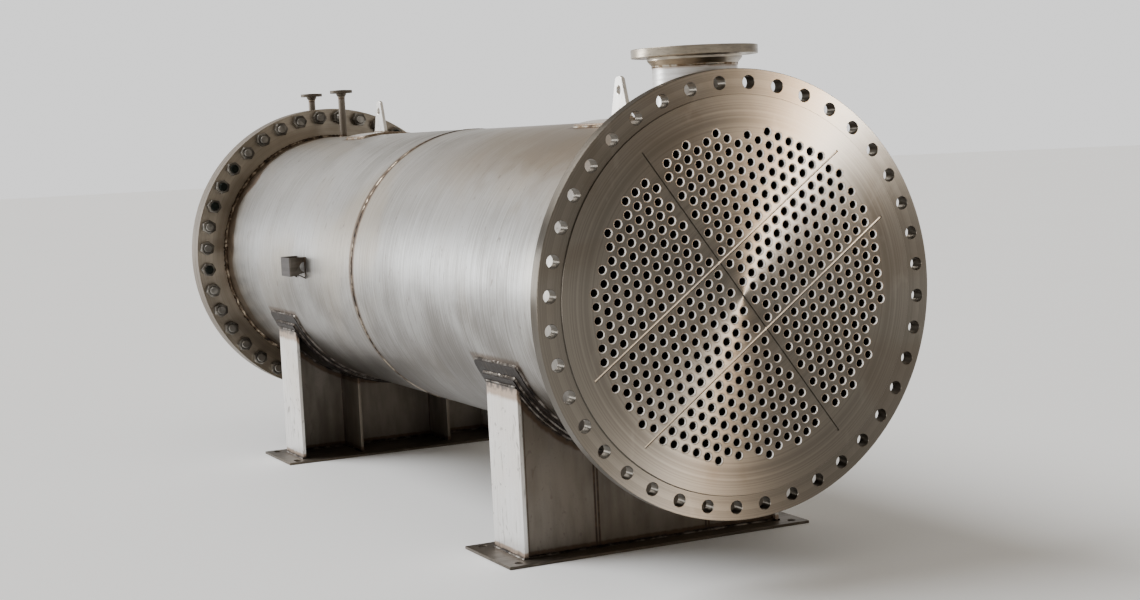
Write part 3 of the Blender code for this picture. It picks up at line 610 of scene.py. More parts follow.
# Heat bands, each with an axis or the radius, a place along it and a half width: on the saddle web where the
# ribs are welded to it, and on webs and ribs where they meet the base plate and the cap plate
FOOT_AND_CAP = [("z", BASE_TOP, 0.030), ("radius", CAP_OUTER, 0.036)]
WEB_BANDS = [("x", side * x, 0.006) for side in (-1, 1) for x in reach("front_saddle_mid_rib_right", X)]
# The narrow bands at x = ±0.474 only draw a thin darker vertical line on each web, through the heat tint.
WEB_BANDS += [("x", side * 0.474, 0.0018) for side in (-1, 1)] + FOOT_AND_CAP

# Painted shade: the front face's base colours are far darker than the same machined steel of the rear
# flange, for the dim front that the face mirrors.
MACHINED = machined_finish("machined_face", (0.162, 0.146, 0.123), (0.092, 0.081, 0.067))
FLANGE_PLATE = machined_finish("flange_plate", (0.580, 0.520, 0.435), (0.360, 0.312, 0.250), 0.25)
# The shell and head finishes paint shade on their top and underside.
SHELL_SKIN = rolled_finish("pickled_shell", PICKLED, (3.0, 190.0, 3.0), 0.38, grime=0.92)
HEAD_SKIN = rolled_finish("pickled_head", PICKLED, (3.0, 120.0, 3.0), 0.40, grime=0.85)
# Painted light: the main nozzle necks take the near-white palette for a light-struck look.
NECK_SKIN = rolled_finish("pickled_pipe", PIPE, (8.0, 8.0, 160.0), 0.36, 0.55)
ROLLED_PLATE = rolled_finish("rolled_plate", PLATE, (4.0, 90.0, 4.0), 0.46, 0.85)
WEB_PLATE = rolled_finish("web_plate", PLATE, (22.0, 5.0, 4.0), 0.50, 0.75, heat_bands=WEB_BANDS)
MID_RIB_PLATE = rolled_finish("mid_rib_plate", PLATE, (5.0, 16.0, 4.0), 0.50, 0.75, heat_bands=FOOT_AND_CAP)
# Painted light: the end ribs take the near-white palette, while webs and mid ribs of the same plate stay
# dark.
RIB_PLATE = rolled_finish("rib_plate", BRIGHT, (60.0, 60.0, 5.0), 0.33, 0.5, heat_bands=FOOT_AND_CAP)
BASE_PLATE = rolled_finish("base_plate", FOOT, (5.0, 60.0, 5.0), 0.5, 0.8)
BRIGHT_PLATE = rolled_finish("bright_plate", BRIGHT, (40.0, 40.0, 8.0), 0.36)
NOZZLE_PLATE = rolled_finish("turned_flange", TURNED, (22.0, 22.0, 90.0), 0.32)
SLATE_PLATE = rolled_finish("slate_plate", SLATE, (4.0, 90.0, 4.0), 0.50, 0.85)
TUBE_STEEL = rolled_finish("drawn_tube", BORE, (150.0, 4.0, 150.0), 0.30)
TUBE_LIP = rolled_finish("reamed_lip", LIP, (150.0, 4.0, 150.0), 0.30, 0.35)
TUBE_END = rolled_finish("rolled_in_end", TUBE_FACE, (150.0, 4.0, 150.0), 0.34)
BRACKET_SHEET = rolled_finish("bracket_sheet", BROWN, (6.0, 6.0, 90.0), 0.5, 0.3)
GROOVE_FLOOR = rolled_finish("milled_groove", MILLED, (40.0, 4.0, 40.0), 0.5, 0.8)
BRIGHT_WELD = weld_finish("bright_weld", (0.40, 0.36, 0.30), (0.07, 0.05, 0.038), (0.20, 0.14, 0.085))
DARK_WELD = weld_finish("brown_weld", (0.30, 0.25, 0.19), (0.022, 0.018, 0.016), (0.080, 0.055, 0.036))
SLATE_WELD = weld_finish("slate_weld", (0.15, 0.135, 0.12), (0.018, 0.016, 0.015), (0.050, 0.040, 0.032))
NUT_STEEL = fastener_finish("nut_steel", (0.25, 0.235, 0.21), (0.085, 0.078, 0.068))
STUD_STEEL = fastener_finish("stud_steel", (0.38, 0.36, 0.33), (0.17, 0.16, 0.145))
GASKET_SHEET = fibre_finish("gasket_fibre")


# ---------------------------------------------------------------- pieces
def shaped(add_shape, *arguments, **options):
    """A new bmesh that holds one shape."""
    work = bmesh.new()
    add_shape(work, *arguments, **options)
    return work


def add_object(name, data, place=(0.0, 0.0, 0.0)):
    """An object in the scene, from a bmesh, a light or a camera."""
    if isinstance(data, bmesh.types.BMesh):
        work, data = data, bpy.data.meshes.new(name)
        bmesh.ops.recalc_face_normals(work, faces=work.faces)
        work.to_mesh(data)
        work.free()
    item = bpy.data.objects.new(name, data)
    item.location = place
    bpy.context.scene.collection.objects.link(item)
    return item


def finish_piece(name, work, material, slot, nodes=(), shift=(0.0, 0.0, 0.0), heat=None):
    """Make a piece of the model from a bmesh and let it ride on the frame."""
    item = add_object(name, work, ORIGIN + Vector(shift))
    item.data.materials.append(material)
    item.data.shade_smooth()
    item.data.set_sharp_from_angle(angle=SHARP_ANGLE)
    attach(item, "root")
    if nodes:
        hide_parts(*nodes)
    if heat:
        paint_heat(item, heat)
    return item


def clothe(node, work, material, slot, **options):
    """Make the fine piece that replaces one CAD node."""
    return finish_piece(node + "_fine", work, material, slot, [node], **options)


def paint_heat(item, heat):
    """Store the heat tint at every vertex of a piece; on the bracket it also holds painted shade."""
    mesh = item.data
    layer = mesh.attributes.new("scorch", "FLOAT", "POINT")
    layer.data.foreach_set("value", [heat(vertex.co) for vertex in mesh.vertices])


def cut_out(item, outline, low, high, to_point):
    """Cut a flat shape out of a piece for good."""
    cutter = add_object("cutter", shaped(add_plate, outline, [], low, high, to_point), ORIGIN)
    modifier = item.modifiers.new("cut", "BOOLEAN")
    modifier.operation = "DIFFERENCE"
    modifier.object = cutter
    bpy.context.view_layer.update()
    result = item.evaluated_get(bpy.context.evaluated_depsgraph_get())
    mesh = bpy.data.meshes.new_from_object(result)
    item.modifiers.clear()
    item.data = mesh
    bpy.data.objects.remove(cutter, do_unlink=True)


def cut_bore(item, nozzle, sides):
    """Cut the round bore of a nozzle through the wall that it stands on."""
    inside, outside, clearance = 0.3, 0.7, 0.0004
    heights = (NOZZLES[nozzle] * inside, NOZZLES[nozzle] * outside)
    outline = circle(0.0, NOZZLE_PLACE[nozzle], NOZZLE_SIZE[nozzle]["pipe"] + clearance, sides)
    cut_out(item, outline, min(heights), max(heights), plan_section)


def near(value, centre, half_width):
    """One at the centre, falling to zero at half_width from it."""
    return max(0.0, 1.0 - abs(value - centre) / half_width)


def nozzle_heat(point, name, strength, half_width):
    """Heat around the foot of a nozzle."""
    if NOZZLES[name] * point.z <= 0:
        return 0.0
    gap = sqrt(point.x ** 2 + (point.y - NOZZLE_PLACE[name]) ** 2) - NOZZLE_SIZE[name]["pipe"]
    return strength * near(gap, 0.0, half_width)


def field_point(across, along):
    """A point of the turned tube field, in the flange face."""
    a = across * cos(FIELD_TURN) - along * sin(FIELD_TURN)
    b = across * sin(FIELD_TURN) + along * cos(FIELD_TURN)
    return a, b


def tube_sites():
    """Tube centres by pass: side is -1 or 1, and row block is -1, 0 or 1."""
    sites = {key: [] for key in PASSES}
    rows = [(ROW_PITCH * step, 0, step % 2 == 1) for step in range(-3, 4)]
    for step in range(OUTER_ROWS):
        height = FIRST_OUTER_ROW + ROW_PITCH * step
        rows += [(height, 1, step % 2 == 0), (-height, -1, step % 2 == 0)]
    for along, block, is_near in rows:
        across = NEAR_COLUMN if is_near else FAR_COLUMN
        while sqrt(across ** 2 + along ** 2) <= FIELD_RADIUS:
            rods = [abs(across - a) + abs(abs(along) - b) for a, b in TIE_ROD_SITES]
            if min(rods) > TUBE_PITCH / 2:
                for side in (-1, 1):
                    sites[side, block].append(field_point(side * across, along))
            across += TUBE_PITCH
    return sites


def groove_outline():
    """One long pass groove and the two that cross it, as a single outline."""
    cross = sqrt(GROOVE_END ** 2 - LANE_OFFSET ** 2)
    h, low, high = GROOVE_HALF, LANE_OFFSET - GROOVE_HALF, LANE_OFFSET + GROOVE_HALF
    right = [(h, GROOVE_END), (h, high), (cross, high), (cross, low), (h, low)]
    right += [(a, -b) for a, b in reversed(right)]
    left = [(-a, b) for a, b in reversed(right)]
    return [field_point(a, b) for a, b in right + left]


def build_front_tubesheet(sites):
    """Bare tubesheet: raised face with tube holes and pass grooves, and a drilled rim."""
    work = bmesh.new()
    face, back = -RAISED_HEIGHT, FRONT_SHEET_BACK
    soft = 0.0012

    def walls(profile, sides=FLANGE_SIDES, centre=(0.0, 0.0)):
        rings = add_turned(work, profile, sides, centre, closed=False)
        return rings[0], rings[-1]

    step = walls([(RAISED_RADIUS - soft, face), (RAISED_RADIUS, face + soft), (RAISED_RADIUS, 0.0)])
    rim = walls([(FLANGE_RADIUS - RIM_EDGE, 0.0), (FLANGE_RADIUS, RIM_EDGE),
                 (FLANGE_RADIUS, back - RIM_EDGE), (FLANGE_RADIUS - RIM_EDGE, back)])
    tube_profile = [(TUBE_HOLE + 0.0002, face), (TUBE_HOLE, face + 0.0004), (TUBE_HOLE, back)]
    tube_holes = [walls(tube_profile, TUBE_SIDES, site) for site in sites]
    edge = BOLT_HOLE + CHAMFER
    bolt_profile = [(edge, 0.0), (BOLT_HOLE, CHAMFER), (BOLT_HOLE, back - CHAMFER), (edge, back)]
    bolt_holes = [walls(bolt_profile, SMALL_SIDES, site) for site in bolt_centres(BOLT_CIRCLE, BOLT_COUNT)]
    outline = groove_outline()
    lip = add_ring(work, [(a, face, b) for a, b in outline])
    floor = add_ring(work, [(a, face + GROOVE_DEPTH, b) for a, b in outline])
    loft(work, [lip, floor])
    walls_made = set(work.faces)
    fill(work, [floor])
    for groove_face in set(work.faces) - walls_made:
        place = groove_face.calc_center_median()
        along = place.z * cos(FIELD_TURN) - place.x * sin(FIELD_TURN)
        if abs(abs(along) - LANE_OFFSET) < GROOVE_HALF:
            groove_face.material_index = 1
    fill(work, [step[0], lip] + [first for first, _ in tube_holes])
    fill(work, [rim[0], step[1]] + [first for first, _ in bolt_holes])
    fill(work, [rim[1]] + [last for _, last in tube_holes + bolt_holes])
    sheet = clothe("front_tubesheet", work, MACHINED, "machined_steel")
    sheet.data.materials.append(GROOVE_FLOOR)


def build_tubes(sites):
    """The tubes of each pass, with rolled-in ends flush with both tubesheets."""
    front, back = -RAISED_HEIGHT, REAR_SHEET_BACK - 0.0005
    profile = [
        (TUBE_OUTER, back),
        (TUBE_OUTER, front + 0.0006),
        (TUBE_OUTER - 0.0003, front + 0.0002),
        (TUBE_INNER + 0.0012, front + 0.0002),
        (TUBE_INNER + 0.0004, front + 0.0014),
        (TUBE_INNER, front + 0.0040),
        (TUBE_INNER, front + LIP_DEPTH),
        (TUBE_INNER, back),
    ]
    for number, key in enumerate(PASSES, 1):
        work = bmesh.new()
        for site in sites[key]:
            add_turned(work, profile, TUBE_SIDES, site)
        for face in work.faces:
            depth = face.calc_center_median().y - front
            face.material_index = 1 if depth < 0.0005 else 2 if depth < LIP_DEPTH else 0
        nodes = [f"tube_pass_{number}"]
        tubes = finish_piece(f"tubes_of_pass_{number}", work, TUBE_STEEL, "tube_steel", nodes)
        tubes.data.materials.append(TUBE_END)
        tubes.data.materials.append(TUBE_LIP)


def build_rear_flange(node, inner, start, end, sites, chamfer):
    """A flat flange, open in the middle if it has an inner radius, with its bolt holes and tube holes."""
    holes = [circle(a, b, BOLT_HOLE, SMALL_SIDES) for a, b in bolt_centres(BOLT_CIRCLE, BOLT_COUNT)]
    holes += [circle(a, b, TUBE_HOLE, REAR_HOLE_SIDES) for a, b in sites]
    if inner:
        holes.append(circle(0.0, 0.0, inner, FLANGE_SIDES))
    outline = circle(0.0, 0.0, FLANGE_RADIUS, FLANGE_SIDES)
    work = shaped(add_plate, outline, holes, start, end, cross_section, chamfer)
    for face in work.faces:
        place = face.calc_center_median()
        face.material_index = int(place.x ** 2 + place.z ** 2 > (FLANGE_RADIUS - RIM_EDGE) ** 2)
    flange = clothe(node, work, FLANGE_PLATE, "plate_steel")
    flange.data.materials.append(ROLLED_PLATE)


def thread_stud(work, a, b, start, end, turn):
    """A stud with chamfered tips; the thread is cut only where it shows."""
    sides, slices = 24, 4
    tip, taper, depth = 0.002, 1.2, 0.0018
    step_length = STUD_PITCH / slices
    steps = [start + step_length * step for step in range(round((STUD_TIP + 0.006) / step_length))]
    steps += [end - (distance - start) for distance in reversed(steps)]
    rings = []
    for distance in steps:
        edge = min(distance - start, end - distance)
        points = []
        for side, angle in enumerate(even_turns(sides)):
            wave = abs(((distance / STUD_PITCH - side / sides + turn) % 1.0) - 0.5) * 2
            radius = min(STUD_RADIUS - depth * wave, STUD_RADIUS - (tip - edge) * taper)
            points.append((a + radius * cos(angle), distance, b + radius * sin(angle)))
        rings.append(add_ring(work, points))
    loft(work, rings, capped=True)


def add_nut(work, a, b, start, end, turn):
    """A hexagon nut whose corners are chamfered by a cone at both ends."""
    flat = NUT_CORNER * cos(pi / 6)
    levels = [0.0, 0.0006, 0.0014, 0.0026, 0.0040]
    rings = []
    for height in [start + level for level in levels] + [end - level for level in reversed(levels)]:
        cone = flat * 0.985 + 1.7 * min(height - start, end - height)
        points = []
        for angle in even_turns(SMALL_SIDES):
            radius = min(cone, flat / cos((angle + pi / 6) % (pi / 3) - pi / 6))
            points.append((a + radius * cos(angle + turn), height, b + radius * sin(angle + turn)))
        rings.append(add_ring(work, points))
    clearance, countersink = 0.0003, 0.0016
    for height in (end, end - 0.0025, start + 0.0025, start):
        radius = STUD_RADIUS + clearance + (countersink if height in (start, end) else 0.0)
        points = [(p, height, q) for p, q in circle(a, b, radius, SMALL_SIDES, turn)]
        rings.append(add_ring(work, points))
    loft(work, rings, closed=True)


def build_bolting():
    """Forty studs through the rear flanges, with a nut at each end."""
    chance = random.Random(4)
    front_end = REAR_SHEET_FRONT - GAP
    front_start = front_end - NUT_HEIGHT
    rear_end = HEAD_FLANGE_BACK + NUT_HEIGHT
    studs, nuts = bmesh.new(), bmesh.new()
    tones = []
    for a, b in bolt_centres(BOLT_CIRCLE, BOLT_COUNT):
        slack = chance.uniform(0.0, 0.004)
        before = len(studs.verts)
        start = front_start - STUD_TIP + slack
        thread_stud(studs, a, b, start, rear_end + STUD_TIP - slack / 2, chance.random())
        tones += [chance.random()] * (len(studs.verts) - before)
        add_nut(nuts, a, b, front_start, front_end, chance.uniform(0, pi / 3))
        add_nut(nuts, a, b, HEAD_FLANGE_BACK, rear_end, chance.uniform(0, pi / 3))
    item = finish_piece("rear_studs", studs, STUD_STEEL, "tube_steel")
    item.data.attributes.new("tone", "FLOAT", "POINT").data.foreach_set("value", tones)
    finish_piece("rear_nuts", nuts, NUT_STEEL, "tube_steel")


def shell_height(x, radius=SHELL_OUTER):
    """Height of the shell surface above the axis at a distance from the centre plane."""
    return sqrt(max(0.0, radius ** 2 - x ** 2))


def add_drilled_flange(work, size, face, radius, sign, sides):
    """Weld-neck flange: tapered hub, drilled ring and raised face."""
    def walls(profile, count=sides, centre=(0.0, 0.0)):
        return add_turned(work, profile, count, centre, lambda a, b, level: (a, b, sign * level), False)

    back = face - size["thickness"]
    step = face - size["raised_height"]
    root = back - size["hub_length"]
    fillet = size["hub_length"] * 0.16
    soft = size["thickness"] * 0.05
    bore, hub_radius, bolt = size["bore"], size["hub"], size["bolt"]
    hub = walls([(bore, root), (size["pipe"], root), (hub_radius, back - size["hub_length"] * 0.35),
                 (hub_radius, back - fillet), (hub_radius + fillet * 0.35, back - fillet * 0.3),
                 (hub_radius + fillet, back)])
    rim = walls([(radius - soft, back), (radius, back + soft),
                 (radius, step - soft), (radius - soft, step)])
    raised = walls([(size["raised"], step), (size["raised"] - 0.0004, face), (bore, face)])
    loft(work, [raised[-1], hub[0]])
    edge, rise = bolt + soft / 2, soft / 2
    profile = [(edge, back), (bolt, back + rise), (bolt, step - rise), (edge, step)]
    centres = bolt_centres(size["bolt_circle"], size["count"])
    holes = [walls(profile, SMALL_SIDES // 2, centre) for centre in centres]
    fill(work, [rim[0], hub[-1]] + [hole[0] for hole in holes])
    fill(work, [rim[-1], raised[0]] + [hole[-1] for hole in holes])


def build_nozzle(name):
    """One nozzle: flange, neck pipe and its welds."""
    sign, size = NOZZLES[name], NOZZLE_SIZE[name]
    is_main = size is MAIN
    sides = NOZZLE_SIDES if is_main else SMALL_SIDES
    shift = (0.0, NOZZLE_PLACE[name], 0.0)
    low, high = reach(name + "_flange", Z)
    face = high if sign > 0 else -low
    work = shaped(add_drilled_flange, size, face, reach(name + "_flange", X)[1], sign, sides)
    clothe(name + "_flange", work, NOZZLE_PLATE if is_main else BASE_PLATE, "bright_plate", shift=shift)

    pipe, bore, bead = size["pipe"], size["bore"], size["bead"]
    root = face - size["thickness"] - size["hub_length"]
    foot = shell_height(pipe, SHELL_INNER) - 0.004
    rows = 14
    profile = [(pipe, sign * (foot + (root - foot) * row / rows)) for row in range(rows + 1)]
    profile += [(bore, sign * root), (bore, sign * foot)]

    def heat(point):
        height = abs(point.z)
        return max(0.6 * near(height, root, 0.012), 0.45 * near(height, shell_height(point.x), 0.022))

    work = shaped(add_turned, profile, sides, to_point=plan_section)
    material = NECK_SKIN if is_main else ROLLED_PLATE
    clothe(name + "_neck", work, material, "pickled_steel", shift=shift, heat=heat)

    foot_path, seam_path = [], []
    for turn in even_turns(120):
        a, b = pipe * cos(turn), pipe * sin(turn)
        height = shell_height(a)
        normal = Vector((cos(turn) + a / SHELL_OUTER, sin(turn), sign * height / SHELL_OUTER))
        foot_path.append(((a, b, sign * height), normal.normalized()))
        seam_path.append(((a, b, sign * root), (cos(turn), sin(turn), 0.0)))
    work = shaped(add_bead, foot_path, bead * 1.2, bead)
    add_bead(work, seam_path, bead * 0.8, bead * 0.3)
    finish_piece(name + "_welds", work, BRIGHT_WELD, "pickled_steel", shift=shift)


def shell_heat(point):
    """How hot the shell has been near its seams, nozzles, lug pads and wear plates."""
    turn = atan2(point.x, point.z)
    pad_side = abs(turn) * SHELL_OUTER - PAD_HALF_ARC
    wear_side = abs(abs(turn) - pi) * SHELL_OUTER - WEAR_HALF_ARC
    scallop = 0.125 + 0.080 * noise.noise(Vector((point.x * 7.0, 0.0, point.z * 7.0)))
    heats = [1.7 * near(point.y, SEAM, 0.034), 1.3 * near(point.y, REAR_SHEET_FRONT, 0.030)]
    heats += [min(0.48, 4.0 * near(point.y, REAR_SHEET_FRONT, scallop))]
    heats += [0.45 * near(point.y, FRONT_SHEET_BACK, 0.020)]
    heats += [nozzle_heat(point, name, 0.8, 0.028) for name in ("inlet", "outlet", "shell_vent")]
    for low, high in PAD_REACH.values():
        heats.append(0.7 * near(max(pad_side, low - point.y, point.y - high), 0.0, 0.024))
    for low, high in WEAR_REACH.values():
        heats.append(0.75 * near(max(wear_side, low - point.y, point.y - high), 0.0, 0.032))
    return max(heats)


def build_shell_course(node, start, end, bores):
    """One rolled course of the shell, with slight waves and round bores for its nozzles."""
    fine, coarse, fine_reach, fade_reach, wave_height = 0.004, 0.014, 0.045, 0.08, 0.0012
    rows = [start]
    while rows[-1] < end - 0.001:
        gap = min(rows[-1] - start, end - rows[-1])
        rows.append(min(end, rows[-1] + (fine if gap < fine_reach else coarse)))
    profile = [(SHELL_OUTER, row) for row in rows] + [(SHELL_INNER, end), (SHELL_INNER, start)]
    work = shaped(add_turned, profile, VESSEL_SIDES)
    for vertex in work.verts:
        if vertex.co.x ** 2 + vertex.co.z ** 2 > (SHELL_OUTER - 0.001) ** 2:
            fade = min(1.0, (vertex.co.y - start) / fade_reach, (end - vertex.co.y) / fade_reach)
            wave = noise.noise(Vector((vertex.co.x * 3.2, vertex.co.y * 1.6, vertex.co.z * 3.2)))
            stretch = 1 + wave_height * wave * max(0.0, fade) / SHELL_OUTER
            vertex.co.x *= stretch
            vertex.co.z *= stretch
    item = clothe(node, work, SHELL_SKIN, "pickled_steel")
    for nozzle in bores:
        cut_bore(item, nozzle, SMALL_SIDES)
    paint_heat(item, shell_heat)


def build_rear_head():
    """Return head: barrel and dished end."""
    rows = 24
    length = BARREL_END - HEAD_FLANGE_BACK
    profile = [(SHELL_OUTER, HEAD_FLANGE_BACK + length * row / rows) for row in range(rows + 1)]
    profile += [(SHELL_INNER, BARREL_END), (SHELL_INNER, HEAD_FLANGE_BACK)]

    def barrel_heat(point):
        ends = max(near(point.y, HEAD_FLANGE_BACK, 0.03), near(point.y, BARREL_END, 0.018))
        return max(0.75 * ends, nozzle_heat(point, "head_vent", 0.7, 0.02))

    item = clothe("rear_head_barrel", shaped(add_turned, profile, VESSEL_SIDES), HEAD_SKIN, "pickled_steel")
    cut_bore(item, "head_vent", SMALL_SIDES // 2)
    paint_heat(item, barrel_heat)

    start, tangent = BARREL_END + 2 * GAP, BARREL_END + DISH_SKIRT
    steps = 40
    swings = [pi / 2 * step / steps for step in range(steps)]
    work = bmesh.new()
    edges = []
    for radius, depth in ((SHELL_OUTER, DISH_END - tangent), (SHELL_INNER, DISH_END - tangent - WALL)):
        profile = [(radius, start)]
        profile += [(radius * cos(swing), tangent + depth * sin(swing)) for swing in swings]
        rings = add_turned(work, profile, VESSEL_SIDES, closed=False)
        crown = work.verts.new((0.0, tangent + depth, 0.0))
        for vertex, following in zip(rings[-1], rings[-1][1:] + rings[-1][:1]):
            work.faces.new((vertex, following, crown))
        edges.append(rings[0])
    loft(work, edges)
    clothe("rear_head_dish", work, HEAD_SKIN, "pickled_steel",
           heat=lambda point: 0.75 * near(point.y, start, 0.018))


def build_ring_welds():
    """Welds that run around the vessel."""
    girth = ring_path(SHELL_OUTER, SEAM)
    front = ring_path(SHELL_OUTER, FRONT_SHEET_BACK, radians(45))
    rear = ring_path(SHELL_OUTER + 0.002, REAR_SHEET_FRONT - 0.002, radians(-45))
    flange = ring_path(SHELL_OUTER + 0.001, HEAD_FLANGE_BACK + 0.001, radians(45))
    dish = ring_path(SHELL_OUTER, BARREL_END)
    head = shaped(add_bead, flange, 0.0090, 0.0080, 0.012, rough=0.22)
    add_bead(head, dish, 0.0065, 0.0026, 0.008)
    work = shaped(add_bead, girth, 0.0080, 0.0030, 0.008)
    finish_piece("girth_weld", work, DARK_WELD, "pickled_steel")
    work = shaped(add_bead, front, 0.0062, 0.0058, 0.008)
    finish_piece("front_tubesheet_weld", work, BRIGHT_WELD, "pickled_steel")
    work = shaped(add_bead, rear, 0.0110, 0.0092, 0.021, rough=0.35)
    finish_piece("rear_tubesheet_weld", work, DARK_WELD, "plate_steel")
    finish_piece("return_head_welds", head, BRIGHT_WELD, "pickled_steel")


def build_lug(label):
    """A lifting lug on its rounded pad, with fillet welds."""
    low, high = PAD_REACH[label]
    pad_outer = reach(label + "_lug_pad", Z)[1]

    def pad_heat(point):
        edge = min(point.y - low, high - point.y, PAD_HALF_ARC - abs(atan2(point.x, point.z)) * SHELL_OUTER)
        return 0.55 * near(edge, 0.0, 0.016)

    rolled = (SHELL_OUTER + GAP, pad_outer, pi / 2, PAD_HALF_ANGLE, low, high, PAD_CORNER, 24)
    clothe(label + "_lug_pad", shaped(add_rolled, *rolled), BRIGHT_PLATE, "pickled_steel", heat=pad_heat)

    node = label + "_lifting_lug"
    half = reach(node, X)[1]
    front, back = reach(node, Y)
    top = reach(node, Z)[1]
    centre, half_base = (front + back) / 2, (back - front) / 2
    tip_radius, eye_radius, eye_drop = 0.034, 0.016, 0.048
    foot, tip = pad_outer + GAP, top - tip_radius
    diagonal = sqrt(half_base ** 2 + (tip - foot) ** 2)
    lean = asin(tip_radius / diagonal) - acos(half_base / diagonal) + pi / 2
    outline = [(centre - half_base, foot), (centre + half_base, foot)]
    outline += [(centre + a, tip + b) for a, b in arc(tip_radius, lean, pi - lean, 28)]
    eye = circle(centre, top - eye_drop, eye_radius, SMALL_SIDES)
    work = shaped(add_plate, outline, [eye], -half, half, side_section, 0.0014)
    clothe(node, work, BRIGHT_PLATE, "bright_plate")

    pad_path = rolled_path(SHELL_OUTER + 0.001, pi / 2, PAD_HALF_ANGLE, low, high, PAD_CORNER)
    lug_path = []
    for a, b in rounded(rectangle(-half, front, half, back), 0.004):
        out = Vector((a, (b - centre) * half / half_base, half * 0.8)).normalized()
        lug_path.append(((a, b, shell_height(a, pad_outer)), out))
    work = shaped(add_bead, pad_path, *PAD_BEAD)
    add_bead(work, lug_path, *RIB_BEAD)
    finish_piece(label + "_lug_welds", work, BRIGHT_WELD, "pickled_steel")


def build_base_plate(label, centre):
    """Base plate of a saddle: round anchor holes in front, and slots at the sliding end."""
    node = label + "_saddle_base_plate"
    half_width = reach(node, X)[1]
    front, back = reach(node, Y)
    hole_x, hole_y, radius = 0.535, 0.155, 0.015
    slot = 0.0 if label == "front" else radius
    holes = []
    for x in (-hole_x, hole_x):
        for y in (centre - hole_y, centre + hole_y):
            hole = circle(x, y, radius, SMALL_SIDES, pi / SMALL_SIDES)
            holes.append([(a, b + (slot if b > y else -slot)) for a, b in hole])
    outline = rounded(rectangle(-half_width, front, half_width, back), 0.003)
    work = shaped(add_plate, outline, holes, FLOOR_LEVEL, BASE_TOP, plan_section)
    clothe(node, work, BASE_PLATE, "plate_steel")


def build_saddle(label):
    """One saddle: rolled wear and cap plates, web, ribs, base plate and their fillet welds."""
    saddle = label + "_saddle_"
    down, foot = -pi / 2, BASE_TOP + GAP
    welds = bmesh.new()
    cap_inner = SHELL_OUTER + PLATE_THICKNESS
    wear = (SHELL_OUTER, cap_inner, WEAR_HALF_ANGLE, WEAR_CORNER, WEAR_CORNER, 0.045, 0.0060)
    cap = (cap_inner, CAP_OUTER, CAP_HALF_ANGLE, 0.004, 0.006, 0.04, 0.0066)
    for name, plate in (("wear_plate", wear), ("cap_plate", cap)):
        inner, outer, half_angle, corner, weld_corner, heat_width, bead_height = plate
        low, high = reach(saddle + name, Y)

        def heat(point):
            arc_gap = half_angle * CAP_OUTER - abs(abs(atan2(point.x, point.z)) - pi) * CAP_OUTER
            return 0.85 * near(min(point.y - low, high - point.y, arc_gap), 0.0, heat_width)

        work = shaped(add_rolled, inner + GAP, outer, down, half_angle, low, high, corner, 96)
        clothe(saddle + name, work, SLATE_PLATE, "plate_steel", heat=heat)
        path = rolled_path(inner + 0.001, down, half_angle, low, high, weld_corner)
        add_bead(welds, path, 0.0068, bead_height, 0.009, rough=0.22)
    build_base_plate(label, sum(WEAR_REACH[label]) / 2)

    steps = 8
    for name in ("end_rib_left", "end_rib_right", "mid_rib_left", "mid_rib_right"):
        near_x, far_x = reach(saddle + name, X)
        first, last = reach(saddle + name, Y)
        outline = [(near_x, foot), (far_x, foot)]
        for step in range(steps + 1):
            x = far_x + (near_x - far_x) * step / steps
            outline.append((x, -shell_height(x, CAP_OUTER) - 0.0004))
        work = shaped(add_plate, outline, [], first, last, cross_section, 0.0012)
        # End ribs get the near-white painted-light finish.
        clothe(saddle + name, work, RIB_PLATE if name.startswith("end") else MID_RIB_PLATE, "bright_plate")
        for x, side in ((near_x, -1), (far_x, 1)):
            for z, lean in ((foot, 1), (-shell_height(x, CAP_OUTER), -1)):
                add_straight_bead(welds, (x, first, z), (x, last, z), (side, 0, lean), *RIB_BEAD)

    web_low, web_high = reach(saddle + "web", Y)
    half_web = reach(saddle + "web", X)[1]
    edge = acos(half_web / CAP_OUTER)
    outline = [(-half_web, foot), (half_web, foot)] + arc(CAP_OUTER + 0.0004, -edge, edge - pi, 72)
    work = shaped(add_plate, outline, [], web_low, web_high, cross_section)
    clothe(saddle + "web", work, WEB_PLATE, "plate_steel")
    for y, side in ((web_low, -1), (web_high, 1)):
        add_straight_bead(welds, (-half_web, y, foot), (half_web, y, foot), (0, side, 1), *WEB_BEAD)
        points = []
        for a, b in arc(CAP_OUTER, -edge, edge - pi, 60):
            points.append(((a, y, b), Vector((a / CAP_OUTER, side, b / CAP_OUTER)).normalized()))
        add_bead(welds, points, *WEB_BEAD, closed=False)
    finish_piece(label + "_saddle_welds", welds, SLATE_WELD, "plate_steel")


